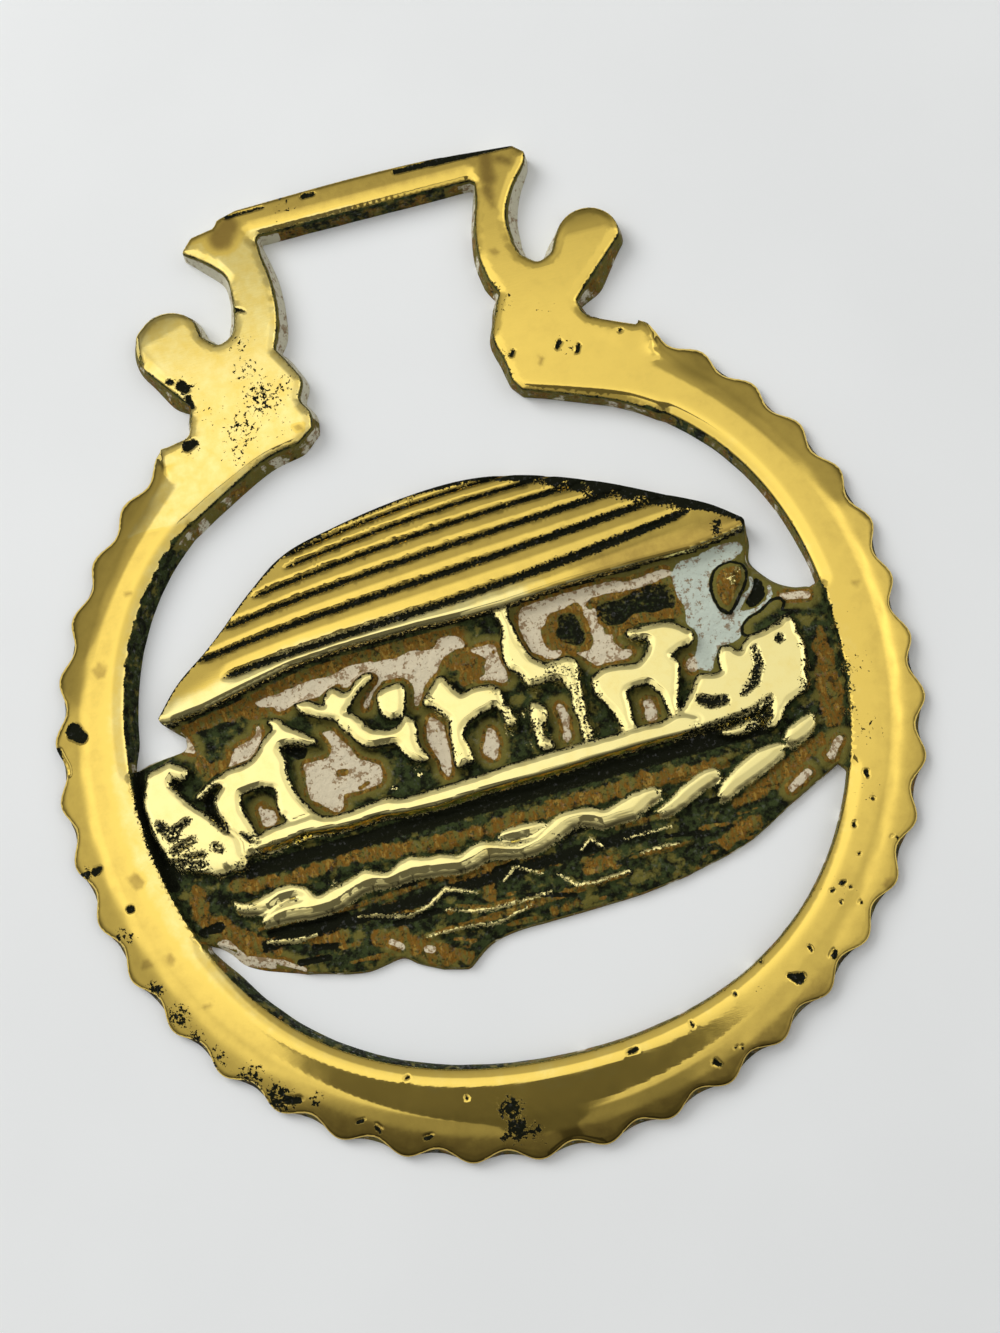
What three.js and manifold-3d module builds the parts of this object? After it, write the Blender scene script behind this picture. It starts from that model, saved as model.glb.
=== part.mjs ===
// A cast horse brass: a scalloped ring with a strap hanger above it and, across
// its middle, a plate in relief with an ark, the animals on its deck and the sea.
// Millimetres. The flat back lies on z = 0, +Y is towards the hanger, and the
// origin is the centre of the ring. It is one casting, so it is one closed solid.
import * as THREE from 'three';
import { mergeVertices } from 'three/addons/utils/BufferGeometryUtils.js';
import Module from 'manifold-3d';

// ---------------------------------------------------------------- driving dimensions

const FACE_HEIGHT = 2.2;          // polished front of the ring and the hanger
const PLATE_HEIGHT = 1.0;         // ground of the relief
const PLATE_DRAFT = 0.2;          // spread of the plate's walls towards the back

const RING_TIP_RADIUS = 39.3;     // tips of the scallops
const RING_BACK_RADIUS = 38.9;
const RING_RIDGE_RADIUS = 36.4;   // soft ridge, outside which the front falls away
const RING_INNER_RADIUS = 31.9;
const RING_INNER_OVAL = 1.0;      // the opening is wider than it is high
const RING_INNER_CORNERS = 0.68;  // and slightly squared
const RING_INNER_LIFT = 0.45;     // lies a little low
const RING_INNER_SKEW = [-0.25, 0.4];  // and is fuller at the upper left
const RING_SHOULDER = 1.3;        // width of the rounded inner edge
const RING_INNER_HEIGHT = 1.9;
const RING_EDGE_HEIGHT = 0.8;
const RING_INNER_DRAFT = 0.7;
const RING_INNER_DRAFT_LEFT = 0.35;
const RING_START = 60;            // degrees, where the right limb leaves the hanger
const RING_END = -238;            // degrees, where the left limb meets it again

const SCALLOP_FIRST = 55;         // degrees, the first lobe on the right
const SCALLOP_PITCH = 8.45;       // degrees
const SCALLOP_DEPTH = 1.1;
const SCALLOP_STEPS = 5;          // faces to each lobe
const SCALLOP_WEAR = [[-64, 24, 0.55], [1, 9, 0.8]];  // worn stretches: angle, width, depth

const BAR_TOP = 53;
const SLOT_TOP = 49.9;
const SLOT_LEFT = -10.1;
const SLOT_RIGHT = 10.6;
const HANGER_DRAFT = 0.6;
const HANGER_BEVEL = 0.35;

const EAVE_HEIGHT = 2.6;
const ROOF_EDGE_HEIGHT = 1.5;
const ROOF_LEFT = -27.5;
const ROOF_RIGHT = 26.2;
const ROOF_STEPS = 20;
const GROOVE_DEPTH = 0.45;
const GROOVE_WIDTH = 0.7;
const GROOVE_ENDS = [[-22.4, 21.5], [-24.5, 21], [-21.6, 18], [-19, 15], [-16, 11]];

const FIGURE_HEIGHT = 2.15;
const RAIL_HEIGHT = 2.25;
const KNOB_HEIGHT = 1.8;
const CREST_HEIGHT = 1.9;
const RIPPLE_HEIGHT = 1.45;
const HULL_HEIGHT = 1.35;
const RELIEF_DRAFT = 0.3;
const RELIEF_ROOT = 0.35;         // how deep the relief is rooted in the plate
const WINDOW_DEPTH = 0.4;
const CIRCLE_STEPS = 3;           // faces to each rounded end of a stroke

const wasm = await Module();
wasm.setup();

const radians = THREE.MathUtils.degToRad;
const degrees = THREE.MathUtils.radToDeg;
const clamp = THREE.MathUtils.clamp;

// ---------------------------------------------------------------- solids

function solidFrom(positions, index) {
  const geometry = new THREE.BufferGeometry();
  geometry.setAttribute('position', new THREE.Float32BufferAttribute(positions, 3));
  geometry.setIndex(index);
  const merged = mergeVertices(geometry, 1e-4);
  const mesh = new wasm.Mesh({
    numProp: 3,
    vertProperties: merged.attributes.position.array,
    triVerts: new Uint32Array(merged.index.array),
  });
  return new wasm.Manifold(mesh);
}

function join(solids) {
  return solids.reduce((whole, solid) => whole.add(solid));
}

function box(x0, x1, y0, y1, z0, z1) {
  const geometry = new THREE.BoxGeometry(x1 - x0, y1 - y0, z1 - z0);
  geometry.translate((x0 + x1) / 2, (y0 + y1) / 2, (z0 + z1) / 2);
  return solidFrom(Array.from(geometry.attributes.position.array), Array.from(geometry.index.array));
}

// Side faces between neighbouring loops of equally many points.
function sideFaces(loops) {
  const count = loops[0].length;
  const index = [];
  for (let level = 0; level + 1 < loops.length; level += 1) {
    for (let i = 0; i < count; i += 1) {
      const near = level * count + i;
      const next = level * count + ((i + 1) % count);
      index.push(near, next, next + count);
      index.push(near, next + count, near + count);
    }
  }
  return index;
}

// A solid through closed loops, given from the back to the front and each
// anticlockwise as seen from the front.
function loft(loops) {
  const last = (loops.length - 1) * loops[0].length;
  const index = sideFaces(loops);
  const flat = (loop) => loop.map(([x, y]) => new THREE.Vector2(x, y));
  for (const [a, b, c] of THREE.ShapeUtils.triangulateShape(flat(loops[0]), [])) {
    index.push(a, c, b);
  }
  for (const [a, b, c] of THREE.ShapeUtils.triangulateShape(flat(loops.at(-1)), [])) {
    index.push(last + a, last + b, last + c);
  }
  return solidFrom(loops.flat(2), index);
}

// A solid swept through convex cross-sections, each clockwise as seen from the
// end of the sweep.
function sweep(sections) {
  const loops = sections.map((section) => section.slice().reverse());
  const count = loops[0].length;
  const last = (loops.length - 1) * count;
  const index = sideFaces(loops);
  for (let i = 1; i + 1 < count; i += 1) {
    index.push(0, i + 1, i);
    index.push(last, last + i, last + i + 1);
  }
  return solidFrom(loops.flat(2), index);
}

// ---------------------------------------------------------------- outlines

// A point of an outline is x, y and how far the wall below it spreads to the back.
function arc(x, y, radius, from, to, steps, spread) {
  const points = [];
  for (let i = 0; i <= steps; i += 1) {
    const angle = radians(from + ((to - from) * i) / steps);
    points.push([x + radius * Math.cos(angle), y + radius * Math.sin(angle), spread]);
  }
  return points;
}

function curve(points, steps, spread) {
  const path = new THREE.CatmullRomCurve3(
    points.map(([x, y, own]) => new THREE.Vector3(x, y, own ?? spread)),
    false,
    'centripetal',
  );
  return path.getPoints(steps).map((point) => [point.x, point.y, point.z]);
}

// Moves the points of an anticlockwise outline outwards, each by share times its
// own spread plus a distance that all have in common.
function offset(outline, share, distance) {
  const count = outline.length;
  return outline.map(([x, y, spread], i) => {
    const [beforeX, beforeY] = outline[(i + count - 1) % count];
    const [afterX, afterY] = outline[(i + 1) % count];
    const first = new THREE.Vector2(y - beforeY, beforeX - x).normalize();
    const second = new THREE.Vector2(afterY - y, x - afterX).normalize();
    const middle = first.add(second);
    const reach = (share * spread + distance) * Math.min(2 / middle.lengthSq(), 1.5);
    return [x + middle.x * reach, y + middle.y * reach];
  });
}

// A casting of one outline. Each level is its height, its share of the walls'
// spread and a distance that all points have in common.
function casting(outline, levels) {
  return loft(levels.map(([height, share, distance]) => (
    offset(outline, share, distance).map(([x, y]) => [x, y, height])
  )));
}

// Height of y on a line through points with rising x.
function heightAt(points, x) {
  const end = clamp(points.findIndex(([pointX]) => pointX >= x), 1, points.length - 1);
  const [x0, y0] = points[end - 1];
  const [x1, y1] = points[end];
  return y0 + (y1 - y0) * clamp((x - x0) / (x1 - x0), 0, 1);
}

// ---------------------------------------------------------------- the ring

// How far the edge lies inside the tips. The lobes are not quite evenly spaced.
function scallop(angle) {
  const turn = radians(angle);
  const drift = 0.054 * Math.cos(turn) - 0.115 * Math.sin(turn) - 0.069 * Math.sin(2 * turn);
  const lobe = (SCALLOP_FIRST - angle) / SCALLOP_PITCH + drift;
  return (SCALLOP_DEPTH * (1 - Math.cos(2 * Math.PI * lobe))) / 2;
}

function wear(angle) {
  const depths = SCALLOP_WEAR.map(([middle, width, depth]) => (
    depth * Math.exp(-(((angle - middle) / width) ** 2))
  ));
  return depths.reduce((sum, depth) => sum + depth);
}

function innerRadius(angle) {
  const turn = radians(angle);
  return RING_INNER_RADIUS
    + RING_INNER_OVAL * Math.cos(2 * turn)
    - RING_INNER_CORNERS * Math.cos(4 * turn)
    - RING_INNER_LIFT * Math.sin(turn)
    + RING_INNER_SKEW[0] * Math.sin(2 * turn)
    + RING_INNER_SKEW[1] * Math.sin(3 * turn);
}

function ring() {
  const sections = [];
  const steps = Math.round(((RING_START - RING_END) / SCALLOP_PITCH) * SCALLOP_STEPS);
  for (let i = 0; i <= steps; i += 1) {
    const angle = RING_START + ((RING_END - RING_START) * i) / steps;
    const along = radians(angle);
    const notch = scallop(angle);
    const worn = wear(angle);
    const inner = innerRadius(angle);
    const draft = RING_INNER_DRAFT - RING_INNER_DRAFT_LEFT * Math.cos(along);
    const profile = [
      [inner - draft, 0],
      [inner, RING_INNER_HEIGHT],
      [inner + RING_SHOULDER, FACE_HEIGHT],
      [RING_RIDGE_RADIUS, FACE_HEIGHT],
      [RING_TIP_RADIUS - worn - notch, RING_EDGE_HEIGHT],
      [RING_BACK_RADIUS - worn - notch / 3, 0],
    ];
    sections.push(profile.map(([r, z]) => [r * Math.cos(along), r * Math.sin(along), z]));
  }
  return sweep(sections);
}

// ---------------------------------------------------------------- the hanger

function hangerOutline() {
  return [
    // Inside of the right arm, from the ring up to the slot.
    ...curve([[22, 23.2], [19.2, 25], [14.3, 27.1], [10.6, 28.5]], 4, 0.15),
    ...curve([[9.9, 29.6, 0.3], [9.7, 31.6], [9.2, 34], [9.9, 36.1], [10.8, 38.2, 0.9]], 6, 0.5),
    ...curve([[10.1, 39.8], [9.8, 42.2], [10.2, 45.4], [10.9, 47.8]], 4, 0.6),
    [SLOT_RIGHT + 0.5, SLOT_TOP - 0.4, 0.6],
    [SLOT_RIGHT, SLOT_TOP, 0.3],
    [SLOT_LEFT, SLOT_TOP, 0.3],
    [SLOT_LEFT - 0.3, SLOT_TOP - 0.5, 0.7],
    // Inside of the left arm, from the slot down to the ring.
    ...curve([[-10.3, 47.8], [-9.9, 44.6], [-10.1, 41.2], [-11, 38.3, 1.1]], 4, 0.7),
    ...curve([[-10.1, 36.8], [-9.2, 34.6], [-9.8, 33], [-9.1, 31.4], [-9.2, 30]], 5, 0.5),
    ...curve([[-10.8, 28.9], [-14, 28.2], [-18, 26.2], [-22, 23.9]], 4, 0.75),
    // Outside of the left arm: shoulder, lobe, notch and the pointed bar end.
    [-25, 28, 0],
    [-23.9, 30.7, 0.3],
    ...curve([[-22.4, 31.7], [-20.6, 32.1], [-19.9, 33.6, 0.8]], 3, 0.3),
    [-19.7, 35, 1.2],
    ...arc(-20.6, 41.4, 3.2, 218, 30, 9, 0.45),
    ...curve([[-17.5, 41.3, 0.7], [-16, 40.1, 1.4], [-14.4, 40.8, 1.1], [-13.8, 42.4, 0.8]], 5, 1),
    ...curve([[-13.6, 44.2], [-13.8, 46.6], [-15.2, 48.3], [-17.4, 50, 0.1]], 4, 0.6),
    [-16.3, 51.2, 0.3],
    [-14, 51.6, 0.3],
    [-13.5, 52.3, 0.3],
    [-11.6, BAR_TOP - 0.2, 0.3],
    [0, BAR_TOP, 0.3],
    [8, BAR_TOP - 0.2, 0.3],
    [15.2, 52.2, 0.2],
    [16.3, 51.2, 0.1],
    // Outside of the right arm: bar end, notch, lobe and shoulder.
    ...curve([[16, 50.3, 0.3], [14.1, 47.9, 0.8], [13, 45.4], [13, 42.6, 0.9]], 4, 1.1),
    ...curve([[13.4, 41.3, 1], [14.9, 40.2, 1.5], [16.4, 40.7, 1.2], [17.3, 42.3, 0.7]], 5, 1),
    ...arc(20.1, 41.5, 2.85, 150, -10, 8, 0.4),
    [22.2, 40.3, 0.5],
    [17.4, 35.6, 1.6],
    [18.1, 33.7, 1.2],
    ...curve([[20, 32.8], [22.3, 31.8]], 2, 0.3),
    [23.5, 28.4, 0],
  ].reverse();
}

function hanger() {
  return casting(hangerOutline(), [
    [0, 1, 0],
    [FACE_HEIGHT - 0.3, 0, 0],
    [FACE_HEIGHT, 0, -HANGER_BEVEL],
  ]);
}

// ---------------------------------------------------------------- the plate and its roof

const ROOF_EDGE = [
  [-28.7, 6.5], [-26.4, 9.2], [-22.7, 12.1], [-18, 16.3], [-14.5, 18.8], [-9.5, 20.2],
  [-2, 21.4], [4, 21.5], [9, 20.5], [15.3, 18.1], [20, 15.7], [24.3, 13.4], [26.9, 11.3],
];

const EAVE = [
  [-27.6, 6.3], [-24.5, 6.5], [-20.5, 7.4], [-16, 8.4], [-11, 8.9], [-4, 9.25],
  [4, 9.4], [10, 9.85], [17, 9.75], [21.5, 9.75], [25, 10.2], [26.4, 10.8],
];

function plateOutline() {
  return [
    ...curve(ROOF_EDGE, 22, PLATE_DRAFT / 2),
    ...curve([[26.6, 9.6], [26.1, 7.8], [27.6, 5.4], [29.6, 4.1], [32.8, 3.8]], 6, 0.5),
    [34, -4, 0],
    ...curve([[32.6, -10.4], [28.8, -12.2], [24.2, -14.5], [20, -16.7], [14, -18.3]], 7, PLATE_DRAFT / 2),
    ...curve([[10, -18.8], [4, -19.1], [-2.5, -19.4], [-4.5, -20], [-6.6, -21.5]], 6, PLATE_DRAFT),
    ...curve([[-8.8, -21], [-10.8, -20], [-12, -19.2], [-15.5, -19.6], [-20.6, -18.5]], 6, PLATE_DRAFT),
    ...curve([[-24, -16.4], [-27.5, -14.4], [-31, -13.5]], 3, 1.2),
    [-34, -6, 0],
    ...curve([[-32.8, 2.4], [-29.5, 3.1], [-27, 3.6], [-26.8, 4.8]], 4, 0.2),
  ].reverse();
}

function plate() {
  return casting(plateOutline(), [
    [0, 1, 0],
    [PLATE_HEIGHT, 0, 0],
  ]);
}

// The front of the roof falls from the eave to the upper edge.
function roofFront(x, y) {
  const eave = heightAt(EAVE, x);
  const span = Math.max(heightAt(ROOF_EDGE, x) - eave, 1);
  const fall = (EAVE_HEIGHT - ROOF_EDGE_HEIGHT) * Math.min(1, span / 12);
  const share = clamp((y - eave) / span, 0, 1);
  return EAVE_HEIGHT - fall * share ** 1.5;
}

function roof() {
  const sections = [];
  for (let i = 0; i <= ROOF_STEPS; i += 1) {
    const x = ROOF_LEFT + ((ROOF_RIGHT - ROOF_LEFT) * i) / ROOF_STEPS;
    const eave = heightAt(EAVE, x);
    const edge = Math.max(heightAt(ROOF_EDGE, x), eave + 0.8);
    const middle = (eave + edge) / 2;
    sections.push([
      [x, eave - 0.25, PLATE_HEIGHT - RELIEF_ROOT],
      [x, eave, EAVE_HEIGHT - 0.2],
      [x, eave + 0.35, EAVE_HEIGHT],
      [x, middle, roofFront(x, middle)],
      [x, edge - 0.3, roofFront(x, edge)],
      [x, edge, PLATE_HEIGHT - RELIEF_ROOT],
    ]);
  }
  return sweep(sections);
}

// The planks are narrower towards the upper edge, and rise to the right.
function grooveAt(row, x) {
  return 10.6 + 2.87 * row - 0.17 * row * row + 0.08 * x - 0.0012 * (row - 1.5) * x * x;
}

function groove(row) {
  const [left, right] = GROOVE_ENDS[row];
  const sections = [];
  const steps = 8;
  for (let i = 0; i <= steps; i += 1) {
    const x = left + ((right - left) * i) / steps;
    const y = grooveAt(row, x);
    const front = roofFront(x, y);
    sections.push([
      [x, y - GROOVE_WIDTH, front + 0.6],
      [x, y, front - GROOVE_DEPTH],
      [x, y + GROOVE_WIDTH, front + 0.6],
    ]);
  }
  return sweep(sections.map((section) => section.slice().reverse()));
}

function grooves() {
  return join(GROOVE_ENDS.map((ends, row) => groove(row)));
}

// ---------------------------------------------------------------- strokes

// The outline around two circles, each given as x, y and radius.
function capsule(a, b, distance) {
  const heading = Math.atan2(b[1] - a[1], b[0] - a[0]);
  const length = Math.hypot(b[0] - a[0], b[1] - a[1]);
  const turn = Math.acos(clamp((a[2] - b[2]) / length, -1, 1));
  const near = [degrees(heading + turn), degrees(heading - turn + 2 * Math.PI)];
  const far = [degrees(heading - turn), degrees(heading + turn)];
  return [
    ...arc(b[0], b[1], b[2] + distance, ...far, CIRCLE_STEPS),
    ...arc(a[0], a[1], a[2] + distance, ...near, CIRCLE_STEPS),
  ];
}

// A stroke bends through several circles. Its front edge is bevelled.
function stroke(nodes, height, draft = RELIEF_DRAFT) {
  const bevel = Math.min(0.22, 0.7 * Math.min(...nodes.map(([, , radius]) => radius)));
  const limbs = [];
  for (let i = 0; i + 1 < nodes.length; i += 1) {
    const loop = (distance, z) => (
      capsule(nodes[i], nodes[i + 1], distance).map(([x, y]) => [x, y, z])
    );
    limbs.push(loft([
      loop(draft, PLATE_HEIGHT - RELIEF_ROOT),
      loop(0, height - 0.25),
      loop(-bevel, height),
    ]));
  }
  return join(limbs);
}

const VOLUTE = [
  [-27.7, 1.3, 0.5], [-28.7, 1.9, 0.6], [-29.9, 1.2, 1.0], [-30, -0.8, 1.6], [-29.3, -2.8, 2.1],
  [-28, -4.8, 2.6], [-25.8, -6.4, 2.0], [-24.4, -7.6, 0.8],
];

const RAIL = [
  [-24.6, -6.6, 0.6], [-18, -6.3, 0.65], [-12, -6.25, 0.7], [-6, -6.4, 0.7], [0, -6, 0.7],
  [12, -5.5, 0.75], [17, -5.4, 0.8], [21.5, -5, 0.8], [24.4, -3.9, 0.85],
  [25.8, -1.8, 0.9], [26.2, 0.2, 0.8],
];

const BOW = [
  [[18.6, -5, 0.9], [22, -3.4, 1.2], [23.6, -1, 0.8]],
  [[20.4, -7, 0.4], [24, -6.9, 0.7], [26.6, -4.6, 1.0], [28, 0.4, 0.7]],
];

const DOG = [
  [[-18.7, 3.2, 0.9], [-15.8, 1.6, 0.45]],
  [[-18.9, 2.7, 1.0], [-19.6, 0.4, 1.7], [-23.6, -0.8, 1.3], [-24.3, -3, 1.1], [-23.8, -6, 1.2]],
  [[-26.4, -0.8, 0.3], [-24, -0.4, 0.7]],
  [[-19.3, 0.2, 1.3], [-18.9, -3.2, 0.9], [-18.2, -5.8, 1.2]],
];

const ANTELOPE = [
  [[-15.9, 4.5, 0.35], [-12.7, 3.6, 0.8], [-12.8, 5, 0.45]],
  [[-9.5, 5.7, 0.28], [-12.3, 3.4, 0.65], [-11.6, 1.3, 0.75], [-10.4, 0.1, 0.7], [-7.2, 0, 0.65]],
  [[-6.7, 0.8, 0.4], [-7.1, 0, 0.7], [-6.9, -1.4, 0.65], [-6.3, -2.3, 0.45]],
];

const HORSE = [
  [[-4.6, 2, 0.4], [-3.3, 3, 0.9], [-2.3, 1.5, 1.2], [1.3, 1.3, 0.7], [2.2, -0.7, 0.45], [2.1, -2.2, 0.4]],
  [[-2.6, 1, 0.8], [-2.8, -3.7, 0.7]],
];

const GIRAFFE = [
  [[3.9, 9, 0.4], [3.6, 7.4, 0.5], [4.2, 4.5, 0.75], [4.9, 2.7, 0.95], [8.8, 2.1, 0.7], [8.3, -4.3, 0.5]],
  [[4.7, -0.5, 0.6], [4.6, -3.8, 0.7]],
];

const ELEPHANT = [
  [[19, 2.4, 0.7], [17.2, 2.8, 1.25], [16.2, 0.4, 1.3], [11.4, -0.3, 1.0], [12.3, -4.6, 0.8]],
  [[14.1, 3.5, 0.4], [15.6, 3.2, 0.7]],
  [[16.3, 0.2, 1.25], [17, -4.7, 0.95]],
];

const CRESTS = [
  [[-26.6, -10.7, 0.2], [-24.2, -11.6, 0.3], [-20, -11.4, 0.4], [-18.6, -12.2, 0.35]],
  [[-23, -13.1, 0.3], [-20, -12.9, 0.45], [-16.6, -12.7, 0.75], [-12.4, -12.3, 0.55], [-9, -11.8, 0.5],
    [-5, -12.3, 0.5], [-3, -11.9, 0.6], [-0.4, -12.5, 0.4], [3, -12, 0.4], [5.4, -11.2, 0.5],
    [8.3, -11.9, 0.5], [13.3, -10.7, 0.35]],
  [[-1, -11.3, 0.25], [0.8, -11.2, 0.4], [2.9, -11.2, 0.25]],
  [[13.4, -12.3, 0.2], [15.6, -11.4, 0.35], [18.6, -10.4, 0.4]],
  [[18.4, -12.2, 0.25], [20.6, -11, 0.55], [24.6, -9.6, 0.5]],
  [[25.4, -9, 0.35], [28, -7.9, 0.4]],
];

const RIPPLES = [
  [[-14.8, -15, 0.2], [-10.6, -16, 0.25], [-7, -14.6, 0.3], [-4.6, -15.4, 0.2]],
  [[-7.3, -16.2, 0.2], [-3.6, -17.2, 0.25], [1.8, -16.9, 0.2]],
  [[3, -15.8, 0.2], [5, -17.1, 0.25], [9, -16.9, 0.2]],
];

const HULL = [[-26, -9.6, 0.6], [-14, -9.9, 0.8], [0, -9.6, 0.9], [12, -9.2, 0.8], [20, -8.9, 0.4]];
const KNOB = [[24.5, 6.2, 1.75], [24.7, 6.1, 1.75]];
const EGG = [[-7.75, 2.8, 1.25], [-7.75, 3.2, 1.2]];
const FENDER = [[25.2, 2.2, 0.55], [27.5, 2.9, 0.55]];

function relief() {
  const figures = [DOG, ANTELOPE, HORSE, GIRAFFE, ELEPHANT, BOW].flat();
  return join([
    stroke(VOLUTE, FIGURE_HEIGHT),
    stroke(RAIL, RAIL_HEIGHT),
    stroke(EGG, FIGURE_HEIGHT),
    stroke(KNOB, KNOB_HEIGHT),
    stroke(FENDER, KNOB_HEIGHT),
    stroke(HULL, HULL_HEIGHT),
    ...figures.map((nodes) => stroke(nodes, FIGURE_HEIGHT)),
    ...CRESTS.map((nodes) => stroke(nodes, CREST_HEIGHT)),
    ...RIPPLES.map((nodes) => stroke(nodes, RIPPLE_HEIGHT)),
  ]);
}

// Two sunk windows in the side of the ark: left, right, lower and upper edge.
const WINDOWS = [[8, 10.6, 4.6, 7.6], [12.1, 19.3, 5.1, 7.8]];

function windows() {
  return join(WINDOWS.map(([x0, x1, y0, y1]) => (
    box(x0, x1, y0, y1, PLATE_HEIGHT - WINDOW_DEPTH, FACE_HEIGHT)
  )));
}

// The strap bears on a flat, upright face under the bar.
function strapSeat() {
  return box(SLOT_LEFT + 0.7, SLOT_RIGHT - 0.7, SLOT_TOP - 3, SLOT_TOP - 0.05, -1, FACE_HEIGHT - 0.4);
}

// ---------------------------------------------------------------- the part

function horseBrass() {
  const whole = join([
    ring(),
    hanger(),
    plate().subtract(windows()),
    roof().subtract(grooves()),
    relief(),
  ]);
  return whole.subtract(strapSeat());
}

function meshFrom(solid, name, material) {
  const result = solid.getMesh();
  const geometry = new THREE.BufferGeometry();
  const positions = new Float32Array(result.vertProperties);
  geometry.setAttribute('position', new THREE.BufferAttribute(positions, 3));
  geometry.setIndex(new THREE.BufferAttribute(new Uint32Array(result.triVerts), 1));
  geometry.computeVertexNormals();
  const mesh = new THREE.Mesh(geometry, material);
  mesh.name = name;
  return mesh;
}

const brass = new THREE.MeshStandardMaterial({ color: 0xc9a13b, roughness: 0.3, metalness: 1 });
const model = new THREE.Group();
model.add(meshFrom(horseBrass(), 'horse_brass', brass));

export default model;
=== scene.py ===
import math

import bpy
import numpy as np
from bpy.props import FloatProperty, FloatVectorProperty, PointerProperty
from mathutils import Matrix, Vector, geometry, kdtree


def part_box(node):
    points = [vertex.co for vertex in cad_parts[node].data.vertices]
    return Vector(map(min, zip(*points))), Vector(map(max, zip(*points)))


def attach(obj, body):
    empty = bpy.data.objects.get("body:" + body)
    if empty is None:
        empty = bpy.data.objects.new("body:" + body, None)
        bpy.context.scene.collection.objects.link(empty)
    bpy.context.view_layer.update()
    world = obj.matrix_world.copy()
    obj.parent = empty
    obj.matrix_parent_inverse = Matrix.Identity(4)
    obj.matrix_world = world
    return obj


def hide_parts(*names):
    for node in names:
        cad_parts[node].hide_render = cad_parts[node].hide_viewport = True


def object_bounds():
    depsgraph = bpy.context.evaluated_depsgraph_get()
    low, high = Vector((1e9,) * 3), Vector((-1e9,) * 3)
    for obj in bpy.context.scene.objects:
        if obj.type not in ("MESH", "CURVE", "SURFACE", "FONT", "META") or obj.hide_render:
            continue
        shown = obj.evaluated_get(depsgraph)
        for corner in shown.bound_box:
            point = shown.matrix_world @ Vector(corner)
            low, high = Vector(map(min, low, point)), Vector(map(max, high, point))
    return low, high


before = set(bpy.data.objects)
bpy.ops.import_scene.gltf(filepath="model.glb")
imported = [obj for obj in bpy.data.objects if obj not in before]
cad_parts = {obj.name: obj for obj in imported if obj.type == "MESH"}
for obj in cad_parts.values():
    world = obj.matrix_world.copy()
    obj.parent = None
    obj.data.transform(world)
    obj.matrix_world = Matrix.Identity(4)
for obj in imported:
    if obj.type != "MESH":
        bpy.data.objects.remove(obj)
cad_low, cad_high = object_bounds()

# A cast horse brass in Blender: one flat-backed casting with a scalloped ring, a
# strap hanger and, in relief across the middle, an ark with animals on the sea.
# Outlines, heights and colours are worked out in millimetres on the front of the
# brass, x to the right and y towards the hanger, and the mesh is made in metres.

bl_info = {
    "name": "Horse Brass",
    "version": (1, 0, 0),
    "blender": (4, 5, 0),
    "location": "3D View > Sidebar > Horse Brass",
    "description": "Casts a horse brass with an ark in relief and sets it on a studio floor",
    "category": "Add Mesh",
}

NODE = "horse_brass"
MM = 0.001
node_low, node_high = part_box(NODE)


# ---------------------------------------------------------------- sizes and colours

def length(name, description, millimetres):
    return FloatProperty(name=name, description=description, default=millimetres * MM,
                         subtype="DISTANCE", unit="LENGTH", precision=5)


def angle(name, description, degrees):
    return FloatProperty(name=name, description=description, default=math.radians(degrees),
                         subtype="ANGLE", unit="ROTATION")


def share(name, description, value):
    return FloatProperty(name=name, description=description, default=value,
                         min=0, max=1, subtype="FACTOR")


def colour(name, description, red, green, blue):
    return FloatVectorProperty(name=name, description=description, size=4, min=0, max=1,
                               default=(red, green, blue, 1), subtype="COLOR")


class BrassSizes(bpy.types.PropertyGroup):
    face_height: length("Face Height", "Polished front of the ring and the hanger above the back", 2.2)
    ground_height: length("Ground Height", "Ground of the relief above the back", 1.0)
    eave_height: FloatProperty(name="Eave Height", description="Highest point, the eave of the roof",
                               default=node_high.z - node_low.z, subtype="DISTANCE", unit="LENGTH")
    tip_radius: length("Tip Radius", "Tips of the scallops from the centre of the ring", 39.3)
    ridge_radius: length("Ridge Radius", "Soft ridge, outside which the front falls away", 36.4)
    scallop_depth: length("Scallop Depth", "How far the notches lie inside the tips", 1.1)
    scallop_pitch: angle("Scallop Pitch", "Angle from one scallop to the next", 8.45)
    first_scallop: angle("First Scallop", "Where the first scallop on the right stands", 55)
    groove_depth: length("Groove Depth", "Depth of the grooves between the planks", 0.26)
    groove_width: length("Groove Width", "Half the width of a groove between the planks", 0.22)
    plank_crown: length("Plank Crown", "How far a plank is rounded towards its edges", 0.1)
    relief_step: length("Relief Step", "Distance between points where the relief is fine", 0.178)
    plain_step: length("Plain Step", "Distance between points on plain stretches", 0.42)


class BrassFinish(bpy.types.PropertyGroup):
    # Partly real rubbed brass and partly a painted highlight: paler to stand for the bright light on the
    # raised figures.
    polished: colour("Polished Brass", "Brass where it is rubbed bright", 1, 0.87, 0.36)
    worn: colour("Worn Brass", "Brass of the ring and the hanger", 0.9, 0.65, 0.135)
    tarnished: colour("Tarnished Brass", "Brass that has dulled on the rim and the bar ends",
                      0.36, 0.24, 0.055)
    black: colour("Black Grime", "Grime in crevices and pits", 0.009, 0.01, 0.005)
    green: colour("Green Patina", "Dark green patina on the ground", 0.042, 0.056, 0.018)
    olive: colour("Olive Patina", "Lighter olive patina between the green and the brown",
                  0.155, 0.135, 0.03)
    # Amber paints brown patina and also the painted shadow band under the eave.
    amber_and_shadow: colour("Amber Patina", "Brown patina around the dried polish", 0.19, 0.086, 0.011)
    gold: colour("Gold Patina", "Lightest streaks in the brown patina", 0.33, 0.21, 0.04)
    cream: colour("Cream Residue", "Dried polish on flat ground", 0.72, 0.63, 0.44)
    chalk: colour("Chalk Residue", "Bluish dried polish beside the bow", 0.56, 0.62, 0.52)
    polish_roughness: share("Polish Roughness", "Roughness of the polished brass", 0.035)
    grime_roughness: share("Grime Roughness", "Roughness of the patina", 0.34)


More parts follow.
